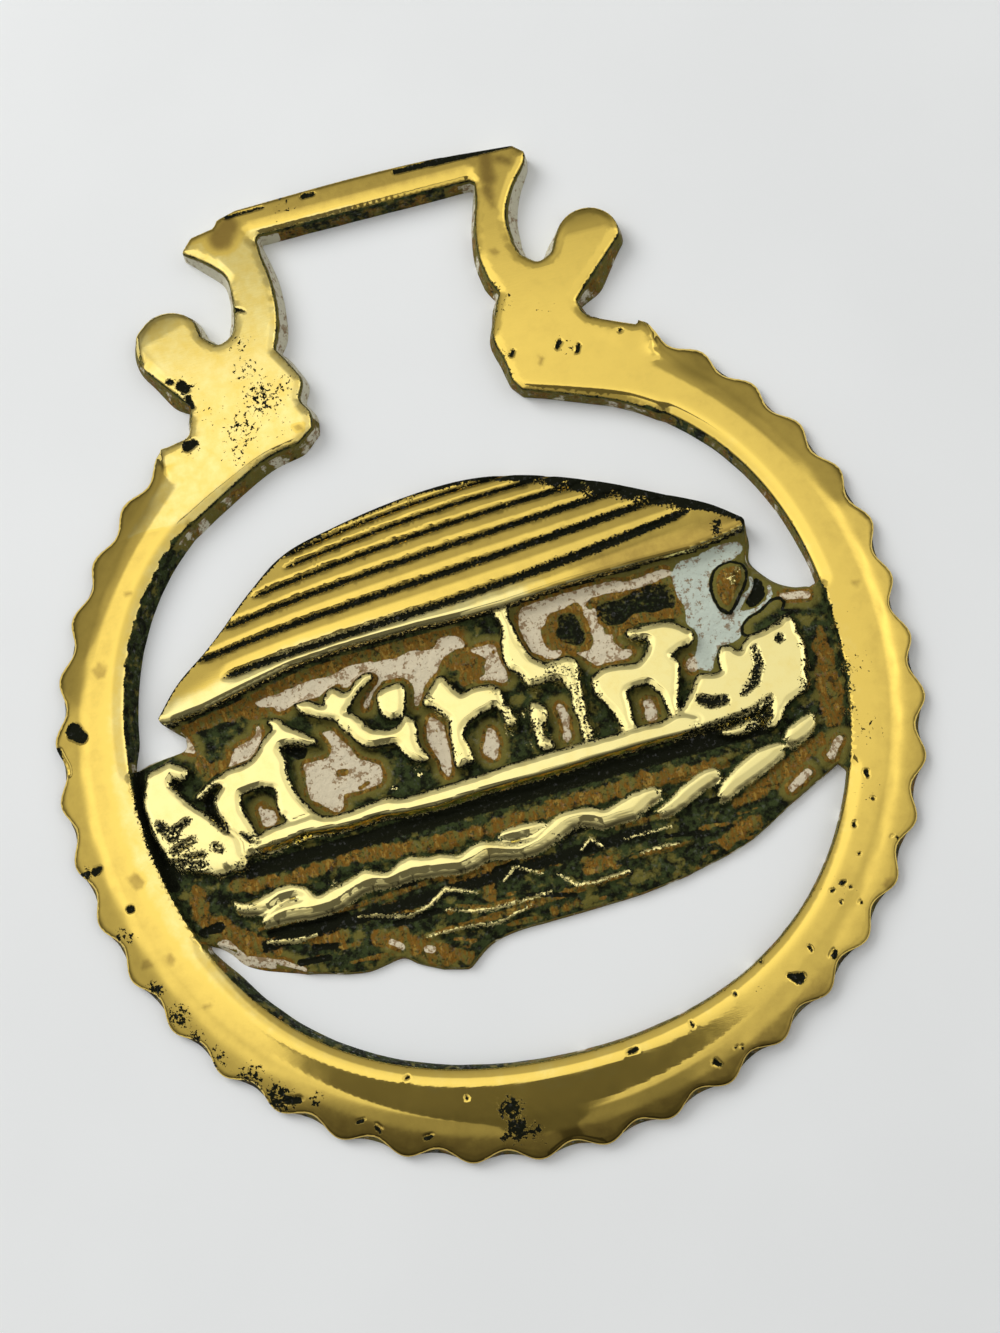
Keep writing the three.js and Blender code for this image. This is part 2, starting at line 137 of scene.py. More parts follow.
class StudioSettings(bpy.types.PropertyGroup):
    floor: colour("Floor", "Plain pale floor", 0.91, 0.925, 0.92)
    sky: FloatProperty(name="Sky", description="Strength of the soft light from above",
                       default=1.0, min=0)
    key: FloatProperty(name="Key Light", description="Power of the soft box on the upper left",
                       default=2.5, min=0, unit="POWER")
    lens: FloatProperty(name="Lens", description="Focal length of the camera",
                        default=54.0, subtype="DISTANCE_CAMERA", unit="CAMERA")


# ---------------------------------------------------------------- soft numbers

def smoothstep(low, high, value):
    part = np.clip((value - low) / (high - low), 0, 1)
    return part * part * (3 - 2 * part)


def blend_max(first, second, reach):
    """The larger of two heights, with their meeting rounded over a reach."""
    part = np.clip(0.5 + (first - second) / (2 * reach), 0, 1)
    return second + (first - second) * part + reach * part * (1 - part)


def noise(x, y, size, seed):
    """Smooth noise from -1 to 1 with lumps of about the given size."""
    u, v = x / size, y / size
    column, row = np.floor(u), np.floor(v)
    across, up = u - column, v - row

    def corner(i, j):
        number = np.sin((column + i) * 127.1 + (row + j) * 311.7 + seed * 74.7) * 43758.5453
        turn = 2 * math.pi * (number - np.floor(number))
        return np.cos(turn) * (across - i) + np.sin(turn) * (up - j)

    ease_x = across * across * (3 - 2 * across)
    ease_y = up * up * (3 - 2 * up)
    low = corner(0, 0) + ease_x * (corner(1, 0) - corner(0, 0))
    high = corner(0, 1) + ease_x * (corner(1, 1) - corner(0, 1))
    return 1.4 * (low + ease_y * (high - low))


def rough_noise(x, y, size, seed):
    return (noise(x, y, size, seed) + noise(x, y, size / 2, seed + 1) / 2
            + noise(x, y, size / 4, seed + 2) / 4) / 1.4


# ---------------------------------------------------------------- outlines

def curve(points, spread, step=0.25):
    """A smooth run through points of x and y, or x, y and their own spread of the wall."""
    nodes = [np.array((*point[:2], point[2] if len(point) > 2 else spread), float) for point in points]
    nodes = [2 * nodes[0] - nodes[1], *nodes, 2 * nodes[-1] - nodes[-2]]
    run = []
    for before, start, end, after in zip(nodes, nodes[1:], nodes[2:], nodes[3:]):
        knots = [0.0]
        for near, far in ((before, start), (start, end), (end, after)):
            knots.append(knots[-1] + max(math.dist(near, far), 1e-6) ** 0.5)
        count = max(2, round(math.dist(start[:2], end[:2]) / step))
        for part in range(count):
            t = knots[1] + (knots[2] - knots[1]) * part / count

            def mix(low, high, a, b):
                return a + (b - a) * (t - low) / (high - low)

            first = mix(knots[0], knots[1], before, start)
            second = mix(knots[1], knots[2], start, end)
            third = mix(knots[2], knots[3], end, after)
            run.append(mix(knots[1], knots[2], mix(knots[0], knots[2], first, second),
                           mix(knots[1], knots[3], second, third)))
    return [*run, nodes[-2]]


def arc(x, y, radius, start, end, spread):
    steps = max(3, round(abs(math.radians(end - start)) * radius / 0.3))
    turns = [math.radians(start + (end - start) * i / steps) for i in range(steps + 1)]
    return [np.array((x + radius * math.cos(t), y + radius * math.sin(t), spread)) for t in turns]


def inner_radius(turn):
    """Radius of the ring's opening, slightly oval, squared and skewed."""
    return (31.92 + 1.01 * np.cos(2 * turn) - 0.68 * np.cos(4 * turn) - 0.45 * np.sin(turn)
            - 0.25 * np.sin(2 * turn) + 0.4 * np.sin(3 * turn))


def inner_run(start, end):
    """The ring's inner edge between two angles, with walls that spread most on the left."""
    steps = round(abs(math.radians(end - start)) * 32 / 0.3)
    run = []
    for i in range(steps + 1):
        turn = math.radians(start + (end - start) * i / steps)
        radius = inner_radius(turn)
        spread = 0.5 - 0.35 * math.cos(turn) + 0.2 * math.sin(turn)
        run.append(np.array((radius * math.cos(turn), radius * math.sin(turn), spread)))
    return run


ROOF_EDGE = [
    (-28.7, 6.5), (-26.4, 9.2), (-22.7, 12.1), (-18, 16.3), (-14.5, 18.8), (-9.5, 20.2),
    (-2, 21.4), (4, 21.5), (9, 20.5), (15.3, 18.1), (20, 15.7), (24.3, 13.4), (26.9, 11.3),
]

EAVE = [
    (-28.7, 6.3), (-27.6, 6.25), (-24.5, 6.6), (-20.5, 7.5), (-16, 8.5), (-11, 8.95), (-4, 9.1),
    (0, 9), (4, 9.1), (10, 9.6), (17, 9.85), (21.5, 9.9), (25, 10.4), (26.4, 10.75), (26.9, 11.1),
]


def wear(turn):
    """How far the tips are worn back, near the right and low on the right."""
    degrees = (np.degrees(turn) + 180) % 360 - 180
    return 0.55 * np.exp(-((degrees + 64) / 24) ** 2) + 0.8 * np.exp(-((degrees - 1) / 9) ** 2)


def outer_loop(tip_radius):
    """Round the whole brass, anticlockwise, without the notches between the scallops."""
    ring = []
    for x, y, spread in arc(0, 0, tip_radius, 126.5, 415, -0.4):
        worn = 1 - wear(math.atan2(y, x)) / tip_radius
        ring.append((x * worn, y * worn, spread))
    right = [
        *curve([(22.3, 31.8), (20, 32.8), (18.1, 33.7, 1.2)], 0.3),
        (17.6, 34.4, 1.5),
        (17.4, 35.6, 1.6),
        *curve([(18.3, 36.6, 1.5), (22.2, 40.3, 0.5)], 1),
        *arc(20.1, 41.5, 2.85, -10, 150, 0.4),
        *curve([(17.3, 42.3, 0.7), (16.4, 40.7, 1.2), (14.9, 40.2, 1.5), (13.4, 41.3, 1)], 1),
        *curve([(13, 42.6, 0.9), (13, 45.4), (14.1, 47.9, 0.8), (16, 50.3, 0.3)], 1.1),
        (16.3, 51.2, 0.1),
        *curve([(15.2, 52.2), (8, 52.8), (0, 53), (-11.6, 52.8)], 0.3),
        (-13.5, 52.3, 0.3),
        (-14, 51.6, 0.3),
        (-16.3, 51.2, 0.3),
    ]
    left = [
        *curve([(-17.4, 50, 0.1), (-15.2, 48.3), (-13.8, 46.6), (-13.6, 44.2)], 0.6),
        *curve([(-13.8, 42.4, 0.8), (-14.4, 40.8, 1.1), (-16, 40.1, 1.4), (-17.5, 41.3, 0.7)], 1),
        *arc(-20.6, 41.4, 3.2, 30, 218, 0.45),
        (-19.7, 35, 1.2),
        *curve([(-19.9, 33.6, 0.8), (-20.6, 32.1), (-22.4, 31.7)], 0.3),
    ]
    return [*ring, *right, *left]


def upper_loop():
    """Round the opening above the roof, with the neck and the strap slot, clockwise."""
    hanger = [
        *curve([(22, 23.2), (19.2, 25), (14.3, 27.1), (10.6, 28.5)], 0.15),
        *curve([(9.9, 29.6, 0.3), (9.7, 31.6), (9.2, 34), (9.9, 36.1), (10.8, 38.2, 0.9)], 0.5),
        *curve([(10.1, 39.8), (9.8, 42.2), (10.2, 45.4), (10.9, 47.8), (11.1, 49.5)], 0.6),
        (10.6, 49.9, 0.3),
        (-10.1, 49.9, 0.3),
        *curve([(-10.4, 49.4), (-10.3, 47.8), (-9.9, 44.6), (-10.1, 41.2), (-11, 38.3, 1.1)], 0.7),
        *curve([(-10.1, 36.8), (-9.2, 34.6), (-9.8, 33), (-9.1, 31.4), (-9.2, 30)], 0.5),
        *curve([(-10.8, 28.9), (-14, 28.2), (-18, 26.2), (-22, 23.9)], 0.75),
    ]
    plate = [
        *curve([(-29.5, 3.1), (-27, 3.6), (-26.8, 4.8)], 0.2),
        *curve(ROOF_EDGE, 0.1),
        *curve([(26.6, 9.6), (26.1, 7.8), (27.6, 5.4), (29.6, 4.1), (31.3, 3.8)], 0.5),
    ]
    return [*inner_run(7.5, 45), *hanger, *inner_run(134, 175.5), *plate][::-1]


def lower_loop():
    """Round the opening below the plate, clockwise."""
    plate = [
        *curve([(29.4, -11.9), (28.8, -12.2), (24.2, -14.5), (20, -16.7), (14, -18.3)], 0.1),
        *curve([(10, -18.8), (4, -19.1), (-2.5, -19.4), (-4.5, -20), (-6.6, -21.5)], 0.2),
        *curve([(-8.8, -21), (-10.8, -20), (-12, -19.2), (-15.5, -19.6), (-20.6, -18.5)], 0.2),
        *curve([(-24, -16.4), (-27.5, -14.4), (-28.8, -14)], 1.2),
    ]
    return [*inner_run(207, 337), *plate][::-1]


def even_run(loop, step):
    """The same closed loop with points at even steps."""
    points = np.array([tuple(point) for point in loop])
    closed = np.vstack([points, points[:1]])
    gaps = np.hypot(*np.diff(closed[:, :2], axis=0).T)
    distance = np.concatenate([[0], np.cumsum(gaps)])
    places = np.linspace(0, distance[-1], max(3, round(distance[-1] / step)), endpoint=False)
    return np.stack([np.interp(places, distance, closed[:, k]) for k in range(3)], axis=1)


def outward(loop):
    """Unit vectors away from the metal, which lies on the left of the loop."""
    along = np.roll(loop[:, :2], -2, axis=0) - np.roll(loop[:, :2], 2, axis=0)
    along /= np.maximum(np.hypot(*along.T), 1e-9)[:, None]
    return np.stack([along[:, 1], -along[:, 0]], axis=1)


def wall_spread(loop):
    """How far the foot of the wall stands out, held back where the outline turns in on itself."""
    spread = loop[:, 2] + 0.05 * noise(loop[:, 0], loop[:, 1], 1.3, 31)
    for window in (2, 4, 7):
        before = loop[:, :2] - np.roll(loop[:, :2], window, axis=0)
        after = np.roll(loop[:, :2], -window, axis=0) - loop[:, :2]
        turning = np.arctan2(before[:, 0] * after[:, 1] - before[:, 1] * after[:, 0],
                             (before * after).sum(axis=1))
        room = 0.6 * np.hypot(*after.T) / np.maximum(-turning, 1e-3)
        room = np.minimum.reduce([np.roll(room, shift) for shift in range(-window, window + 1)])
        spread = np.minimum(spread, room)
    for _ in range(6):
        spread = (np.roll(spread, 1) + 2 * spread + np.roll(spread, -1)) / 4
    return spread


# ---------------------------------------------------------------- the relief

# Polished forms and the patches between them are closed outlines of x and y.
DOG = [
    (-26.7, -1), (-25.6, -0.3), (-24.5, 0.1), (-23.6, 0.5), (-22.4, 0.6), (-21.4, 0.85),
    (-20.6, 1.4), (-20, 2.2), (-19.3, 2.8), (-18.75, 3.2), (-18.8, 3.6), (-19.1, 3.9),
    (-18.6, 4.05), (-18.1, 3.85), (-17.7, 3.3), (-17.3, 2.9), (-16.5, 2.4), (-15.8, 1.7),
    (-15.25, 1.25), (-15.5, 1.05), (-16.5, 1.2), (-17.4, 1.45), (-18.1, 1.6), (-18.65, 1.3),
    (-18.35, 0.2), (-18.5, -0.9), (-18.3, -2.1), (-18, -3.1), (-17.5, -4), (-16.9, -5),
    (-16.3, -5.6), (-15.4, -5.9), (-14.5, -6.6), (-22, -7.3), (-25, -7), (-25, -5.2),
    (-24.6, -4.4), (-24.9, -3.7), (-25.3, -3), (-25.35, -2.2), (-24.9, -1.4), (-24.3, -0.75),
    (-24.6, -0.35), (-25.2, -0.45), (-26, -1), (-26.7, -1.3),
]
DOG_GAP = [
    (-22.9, -1.8), (-22, -1.65), (-21, -1.6), (-20.2, -1.85), (-19.75, -2.1), (-19.8, -3.8),
    (-19.75, -4.4), (-19.4, -4.7), (-19.35, -5.3), (-20, -5.7), (-21, -5.9), (-21.7, -6.1),
    (-22, -6.5), (-22.3, -5.6), (-22.8, -4.1), (-23.1, -3.2),
]
ANTELOPE = [
    (-16.35, 4.85), (-15.5, 4.9), (-14.8, 4.65), (-14.2, 4.2), (-13.9, 4.15), (-13.6, 4.8),
    (-13.2, 5.3), (-12.7, 5.45), (-12.3, 5.15), (-11.9, 4.8), (-11.35, 4.8), (-10.8, 5.25),
    (-10.2, 5.75), (-9.6, 6), (-9.1, 5.9), (-9.1, 5.6), (-9.6, 5.3), (-10.3, 4.9), (-11, 4.3),
    (-11.6, 3.6), (-12.05, 3.1), (-11.5, 2.75), (-11, 2.1), (-10.6, 1.4), (-10.1, 0.95),
    (-9.3, 0.65), (-8.6, 0.5), (-7.9, 0.55), (-7.4, 0.9), (-7, 1.4), (-6.7, 1.25), (-6.3, 0.7),
    (-6.25, 0), (-6.4, -0.8), (-6.3, -1.6), (-6, -2.3), (-5.75, -2.75), (-6.2, -2.95),
    (-7, -2.6), (-7.6, -2.1), (-7.95, -1.4), (-8.1, -0.9), (-8.7, -0.65), (-9.5, -0.6),
    (-10.3, -0.55), (-11, -0.25), (-11.6, 0.3), (-12.2, 1.2), (-12.7, 1.9), (-13, 2.6),
    (-13.6, 2.9), (-14.4, 3.25), (-15.2, 3.65), (-15.9, 4.15),
]
EGG = [
    (-7.9, 4.35), (-7, 4.4), (-6.6, 4.2), (-6.5, 3.7), (-6.6, 3), (-6.8, 2.3), (-7, 1.85),
    (-7.4, 1.55), (-8, 1.45), (-8.6, 1.8), (-8.95, 2.4), (-8.95, 3.1), (-8.9, 3.8), (-8.5, 4.2),
]
HORSE = [
    (-3.3, 4), (-2.9, 4.05), (-2.6, 3.5), (-2.3, 3), (-1.9, 2.4), (-1.5, 2.05), (-0.6, 2.3),
    (0.4, 2.3), (1.3, 2.1), (1.75, 1.7), (1.95, 1.1), (1.95, 0.4), (2.3, -0.3), (2.4, -0.9),
    (2.6, -1.4), (2.2, -1.75), (1.8, -1.5), (1.75, -0.7), (1.4, 0.1), (1.1, 0.35), (0.4, 0.2),
    (-0.3, 0), (-1.1, -0.3), (-1.8, -0.7), (-2.15, -1.1), (-2.3, -1.8), (-2.1, -2.4),
    (-2, -3.2), (-2, -4.1), (-2.6, -4.1), (-3.4, -4.15), (-3.4, -3), (-3.3, -1.6), (-3.2, -0.6),
    (-3.1, 0.1), (-3.5, 0.7), (-4, 1.3), (-4.4, 1.7), (-5, 2.1), (-4.9, 2.4), (-4.4, 2.9),
    (-3.9, 3.4),
]
GIRAFFE = [
    (3.4, 9.4), (4.1, 9.4), (4.2, 8.6), (4.1, 7.9), (4.35, 6.8), (4.5, 5.8), (4.8, 4.9),
    (5.2, 3.9), (5.8, 3.3), (6.4, 2.9), (7.2, 2.9), (8.2, 3), (8.8, 2.8), (9.1, 2.3), (9, 0.8),
    (8.9, -0.3), (8.85, -1.3), (8.8, -2.2), (8.7, -3.2), (9, -4), (8.9, -4.5), (8.2, -4.8),
    (8.1, -4), (8.2, -3), (7.9, -1.5), (8.1, -0.5), (7.8, 0.6), (7.3, 1.2), (6.4, 1.4),
    (5.4, 1.3), (4.6, 1.4), (4.1, 2.3), (3.7, 2.9), (3.2, 3.3), (2.95, 4.2), (3.05, 5.2),
    (3.1, 5.8), (3.35, 6.4), (3.5, 7.3), (3.3, 8), (3, 8.7), (3.2, 9.1),
]
GIRAFFE_LEG = [
    (4.4, -0.3), (4.9, -0.5), (5.35, -1), (5.4, -1.8), (5, -2.3), (4.7, -2.8), (4.7, -3.5),
    (5.2, -4), (5.3, -4.5), (4.5, -4.6), (4.1, -4.1), (4.1, -3.1), (4, -2.1), (4.1, -1),
]
ELEPHANT = [
    (10.1, 0.3), (10.4, 0.7), (11, 1), (11.8, 1.15), (12.8, 1.05), (13.7, 0.9), (14.4, 0.85),
    (15, 1.2), (15.5, 1.7), (15.8, 2.2), (15.9, 2.7), (15.4, 3), (14.8, 3.1), (14.2, 3.5),
    (14.3, 4), (15, 3.95), (16, 3.95), (17, 3.95), (17.8, 3.8), (18.6, 3.4), (19.3, 2.8),
    (19.75, 2.4), (19.7, 1.8), (19.3, 1.5), (18.4, 1.35), (17.8, 1.1), (17.45, 0.9), (17.7, 0.3),
    (17.9, -0.2), (17.6, -1.2), (17.3, -2.2), (17, -3), (16.9, -4), (17.3, -4.8), (16, -5),
    (16, -4.2), (15.9, -3.2), (15.8, -2.4), (15.3, -1.7), (14.9, -1.1), (14.2, -1), (13.3, -1.1),
    (12.8, -1.3), (12.75, -2.5), (12.7, -3.8), (12.8, -4.8), (11.6, -4.9), (11.6, -4),
    (11.3, -3), (10.9, -2.2), (10.5, -1.4), (10.2, -0.9),
]
RAIL = [
    (-17, -5.2), (-16, -5.75), (-15, -5.9), (-13, -5.75), (-11, -5.5), (-10, -5.5),
    (-9.3, -5.75), (-8.5, -5.85), (-7, -5.8), (-3, -5.6), (-1, -5.5), (0.5, -5.3), (4, -5.15),
    (7, -5), (11, -4.95), (13, -4.8), (15, -4.85), (17, -4.5), (18.5, -5.4), (17, -6.5),
    (15, -6.5), (12, -6.65), (9, -6.75), (5.5, -7), (2, -7.1), (-2, -7.2), (-4, -7.35),
    (-6, -7.5), (-9, -7.35), (-11, -7.1), (-14, -7.3), (-16, -7.2), (-18, -7), (-20, -7.3),
    (-22, -7.4), (-22, -6),
]
BOW = [
    (16.8, -4.6), (17.6, -3.7), (18.2, -3.1), (18.6, -2.6), (19, -2), (19.4, -1.55), (20.8, -1.8),
    (21.4, -1.7), (21.5, -1), (21.6, -0.3), (22, 0.4), (22.6, 0.3), (23.2, -0.3), (23.5, -0.4),
    (24, 0.2), (24.5, 0.6), (26, 0.9), (26.8, 1.1), (27.5, 1.3), (28.2, 1.7), (28.6, 1.5),
    (28.8, 0.9), (28.7, 0.3), (29, -0.5), (29, -1.7), (28.8, -2.7), (28.5, -3.5), (28.5, -4.3),
    (28.2, -5), (27.3, -5.4), (26.6, -5.7), (26, -6.2), (25.5, -6.9), (24.9, -7.5),
    (24.2, -7.6), (24.1, -7.2), (24.7, -6.4), (24.9, -5.4), (24.4, -5.5), (23, -5.9),
    (21, -6.1), (19, -6.3), (17, -6.2), (15.5, -6),
]
STRAKE = [
    (20, -7), (21, -6.9), (22, -6.75), (23, -6.6), (23.7, -6.8), (23.2, -7.1), (22.4, -7.4),
    (21.5, -7.5), (20.6, -7.4),
]
ANIMALS = [DOG, ANTELOPE, EGG, HORSE, GIRAFFE, GIRAFFE_LEG, ELEPHANT]
KNOB = [
    (22.5, 5.9), (22.8, 6.9), (23.5, 7.7), (24.6, 7.95), (25.6, 7.6), (26, 6.9), (25.8, 6.1),
    (25.3, 5.3), (24.7, 4.6), (24.3, 4), (23.5, 3.4), (23, 3.8), (22.6, 4.6),
]
POCKET = [
    (25.2, 4.1), (26, 4.9), (26.6, 6.1), (27, 5.8), (27.2, 5), (27, 4.2), (26.4, 3.7), (25.6, 3.5),
]
FENDER = [
    (24.3, 1.9), (25, 2.5), (26.2, 2.9), (27.4, 3.6), (28.3, 3.6), (28.5, 3.1), (28.2, 2.5),
    (29, 2.2), (28, 1.8), (27, 1.3), (25.8, 1), (24.8, 0.9), (24.2, 1.2),
]
WINDOWS = [
    [(7.9, 5.5), (8.4, 6.2), (8.5, 7), (9.5, 7.1), (10.1, 6.8), (10.3, 5.8), (10.5, 4.6),
     (9.9, 3.9), (9, 4.3), (8.3, 4.7), (8.1, 5.2)],
    [(12, 7), (13, 7.3), (14.5, 7.2), (16, 7.7), (17.6, 7.8), (18.8, 7.3), (19.2, 6.4),
     (18.9, 5.2), (18.2, 5.4), (17, 5.3), (15.4, 5.6), (14, 5), (12.8, 5.1), (12.2, 5.6),
     (11.95, 6.3)],
]

# Dried polish on the ground: cream on the ark's side, chalky beside the bow.
CREAM = [
    [(-20, 6.2), (-19, 6.4), (-17.5, 6.5), (-16.5, 6.7), (-15, 6.9), (-13.5, 6.9), (-12, 7),
     (-11.5, 7.3), (-9.5, 7.3), (-8, 7.1), (-6.5, 7), (-5, 7.3), (-4, 7), (-3, 7.1), (-2.5, 7.7),
     (-1.5, 7.8), (-0.8, 7.5), (-0.3, 7), (-0.3, 6.5), (-1.2, 6.4), (-2, 6.1), (-2.5, 5.9),
     (-2.9, 5.4), (-3.3, 4.8), (-4, 4.4), (-4.6, 3.8), (-5, 3.2), (-5.4, 2.5), (-5.7, 2.2),
     (-5.9, 2.6), (-5.7, 3.4), (-5.7, 4.2), (-6, 4.8), (-6.4, 5.1), (-7.4, 5.2), (-8.2, 5.3),
     (-8.7, 4.9), (-9.2, 4.4), (-9.7, 3.8), (-10, 3.2), (-10.4, 3.1), (-10.4, 3.6), (-10, 4),
     (-9.4, 4.6), (-8.7, 5.2), (-8.6, 5.8), (-9, 6.15), (-9.8, 6.2), (-10.6, 6), (-11.1, 5.6),
     (-11.8, 5.5), (-12.2, 6), (-12.8, 5.8), (-13.5, 5.6), (-14.2, 5.3), (-15, 5.2), (-16, 5.1),
     (-17, 5), (-17.6, 4.8), (-18.1, 4.9), (-18.5, 5.4), (-19.2, 5.6), (-19.8, 5.8)],
    [(0, 6), (0.8, 6.1), (1.8, 6.1), (2.4, 5.9), (2.5, 5), (2.6, 4), (2.8, 3.2), (2.7, 2.5),
     (2.2, 2.4), (1.5, 2.8), (0.7, 3), (0.3, 3.2), (0.9, 3.6), (1.1, 4.3), (1.3, 4.9), (0.8, 5.4)],
    [(-23.5, 1), (-23.2, 1.7), (-22.7, 2.4), (-21.9, 2.8), (-21.1, 2.9), (-20.6, 3.3),
     (-20.3, 4), (-20.05, 3.9), (-20.1, 3), (-20.2, 2.4), (-20.7, 1.9), (-21.5, 1.3),
     (-22.5, 1.05)],
    [(-27.2, 5.2), (-26.7, 4.6), (-26.3, 3.6), (-26.3, 3), (-26.7, 3.2), (-27.3, 3.5)],
    [(-14.6, 1.9), (-14.1, 2.05), (-13.5, 1.7), (-13, 0.8), (-12.5, 0), (-12.1, -0.8),
     (-11.6, -1.4), (-10.8, -1.8), (-10.3, -2.2), (-10.2, -3), (-10.4, -3.7), (-11.2, -3.9),
     (-12.5, -4), (-14, -4.1), (-14.2, -5), (-14.8, -5.4), (-15.4, -5), (-16.2, -4.3),
     (-16.9, -3.7), (-17, -2.5), (-16.9, -1.2), (-16.9, -0.5), (-15.8, -0.4), (-14.6, -0.3),
     (-14.1, 0.3), (-14.2, 1.1)],
    [(-21.7, -3.3), (-21.3, -3.05), (-20.9, -3.6), (-20.4, -4), (-20.3, -4.6), (-20.6, -5.1),
     (-21.2, -5.15), (-21.6, -4.9), (-21.7, -4.2)],
    [(-5.3, 0.2), (-4.8, 0.9), (-4.3, 0.6), (-3.9, 0), (-3.8, -1.2), (-3.8, -2.6), (-4, -4),
     (-4.4, -4.7), (-4.8, -4.2), (-4.9, -3.2), (-5.2, -2.2), (-5.5, -1)],
    [(-0.2, -1.6), (0.1, -1.35), (0.5, -1.7), (0.7, -2.6), (0.5, -3.4), (0, -4.2), (-0.5, -4),
     (-0.9, -3.2), (-0.5, -2.3)],
    [(6.4, -1), (6.7, -0.8), (7.1, -1.2), (7.3, -2.1), (7.1, -3), (7, -4), (6.6, -4.4),
     (6.3, -4), (6.5, -3.2), (6.6, -2.2), (6.4, -1.5)],
    [(14, -2.5), (14.4, -2.3), (14.9, -2.5), (15, -3.3), (14.9, -4.1), (14.4, -4.4),
     (13.9, -4.2), (13.95, -3.6), (14.1, -3.1)],
    [(5.1, 8), (5.6, 8.5), (7, 8.7), (11, 8.9), (14, 8.9), (15.5, 8.6), (19, 8.8), (19.6, 8.3),
     (18.6, 8.1), (17.8, 7.9), (15, 7.8), (13, 8), (11.8, 7.9), (11.2, 7.4), (11.5, 7),
     (12, 6.9), (12, 6.2), (11.9, 5.5), (12.2, 5), (12.3, 4.4), (13, 4.2), (12.8, 3.6),
     (13.1, 3), (13.6, 2.6), (14.2, 2.4), (14.2, 2), (13.5, 1.7), (12, 1.8), (11, 1.8),
     (10.4, 2.2), (10.1, 2.6), (9.5, 3.2), (9.1, 3.4), (10, 3.3), (10.6, 3.3), (11, 3.8),
     (11.1, 4.6), (11.1, 5.6), (10.9, 6.6), (10.8, 7.4), (10.5, 7.9), (10, 7.9), (9, 7.6),
     (8, 7.5), (7.7, 7.3), (7.3, 6.8), (6.8, 6.3), (6.7, 5.6), (6.8, 4.7), (7.3, 4.1), (8, 4),
     (8.1, 3.6), (7.5, 3.3), (6.8, 3.4), (6.3, 3.9), (5.8, 4.2), (5.4, 4.8), (5.2, 5.6),
     (5, 6.6), (4.95, 7.4)],
    [(18.9, -0.9), (18.6, -0.3), (18.9, 0.3), (19.5, 0.4), (19.7, -0.3), (19.4, -0.9)],
]
CHALK = [
    [(19.4, 8.4), (20.5, 9.1), (22, 9.2), (23.5, 9.6), (25, 9.7), (26.2, 9.5), (26.3, 8.9),
     (25.6, 8.4), (24.6, 8), (23.3, 7.7), (22.6, 7), (22.4, 6), (22.5, 4.6), (22.9, 3.6),
     (23.4, 3.3), (24.2, 3.8), (25.1, 4.7), (26, 5.4), (26.1, 6.2), (26.3, 6.3), (26.4, 5.4),
     (25.4, 4.4), (24.6, 3.5), (25.5, 3.3), (26.6, 3.6), (27.3, 4.2), (27.5, 5), (27.7, 5.1),
     (27.7, 4.2), (27.1, 3.4), (26, 3), (25.1, 2.7), (24.5, 2.3), (24.2, 1.5), (23.6, 0.9),
     (22.6, 0.7), (21.9, 0.6), (21.5, 0.1), (21, -0.8), (20.6, -1.25), (20, -1), (19.5, -0.7),
     (19.5, 0), (19.6, 0.5), (20, 1.2), (20.3, 2.2), (20.1, 2.8), (19.6, 3.6), (19.8, 4.4),
     (19.8, 5.2), (19.5, 6), (19.4, 7)],
]

# A stroke runs through circles of x, y and radius.
VOLUTE = [
    [(-27.7, 1.3, 0.5), (-28.7, 1.9, 0.6), (-29.9, 1.2, 1), (-30, -0.8, 1.6), (-29.3, -2.8, 2.1),
     (-28, -4.8, 2.6), (-25.8, -6.4, 2), (-24.4, -7.6, 0.8)],
]

CRESTS = [
    [(-25.6, -11), (-24.4, -11.5), (-22.8, -11.2), (-21.4, -10.8), (-20, -10.9), (-19, -11.4),
     (-18.2, -12.3), (-16.8, -12), (-15, -11.6), (-13.6, -11.15), (-12.4, -11.6), (-11.6, -11.8),
     (-10.4, -11.2), (-9.3, -11), (-8, -11.35), (-6.4, -11.5), (-5.1, -11.9), (-4.2, -11.5),
     (-3, -11.2), (-1.6, -11.6), (0, -12.25), (1.6, -11.95), (3, -11.2), (4.1, -10.6), (5.6, -10.5),
     (7.2, -10.65), (8.4, -11.1), (9.8, -10.7), (11.4, -10.3), (13, -10.25), (13.6, -10.7),
     (12.2, -11.3), (10.8, -12), (9.4, -12.1), (7.8, -12.2), (7, -11.8), (6, -11.5), (4.8, -11.65),
     (3.4, -12.3), (2, -12.8), (0.4, -12.95), (-1.4, -12.6), (-2.6, -12.4), (-4, -12.8),
     (-5.4, -12.95), (-7.4, -12.7), (-9.4, -12.5), (-11.6, -12.7), (-13.2, -12.5), (-15, -12.9),
     (-16.4, -13.45), (-18.6, -13.65), (-21, -13.4), (-23.4, -13.4), (-22.4, -12.6), (-21, -12.3),
     (-19.5, -12.2), (-19.9, -11.75), (-21.4, -11.85), (-22.6, -12.4), (-24, -12.1), (-25.2, -11.7)],
    [(-1.6, -11.25), (-0.8, -10.75), (0.6, -10.6), (2.2, -10.7), (3.1, -11.1), (1.8, -11.55),
     (0, -11.5)],
    [(12.6, -12.4), (14.2, -11.6), (15.4, -10.8), (17, -10.1), (18.4, -9.85), (19, -10.4),
     (17.4, -11), (16, -11.6), (14.6, -12.25), (13.2, -12.6)],
    [(18.3, -12.4), (18.7, -11.7), (20, -10.6), (21.4, -9.8), (23, -9.2), (24.6, -9.15), (25, -9.5),
     (23.8, -10.3), (22, -11.1), (20, -11.9), (18.8, -12.5)],
    [(25.1, -8.9), (25.7, -8.2), (26.8, -7.6), (28.2, -7.3), (28.2, -7.9), (27, -8.8), (25.6, -9.2)],
]

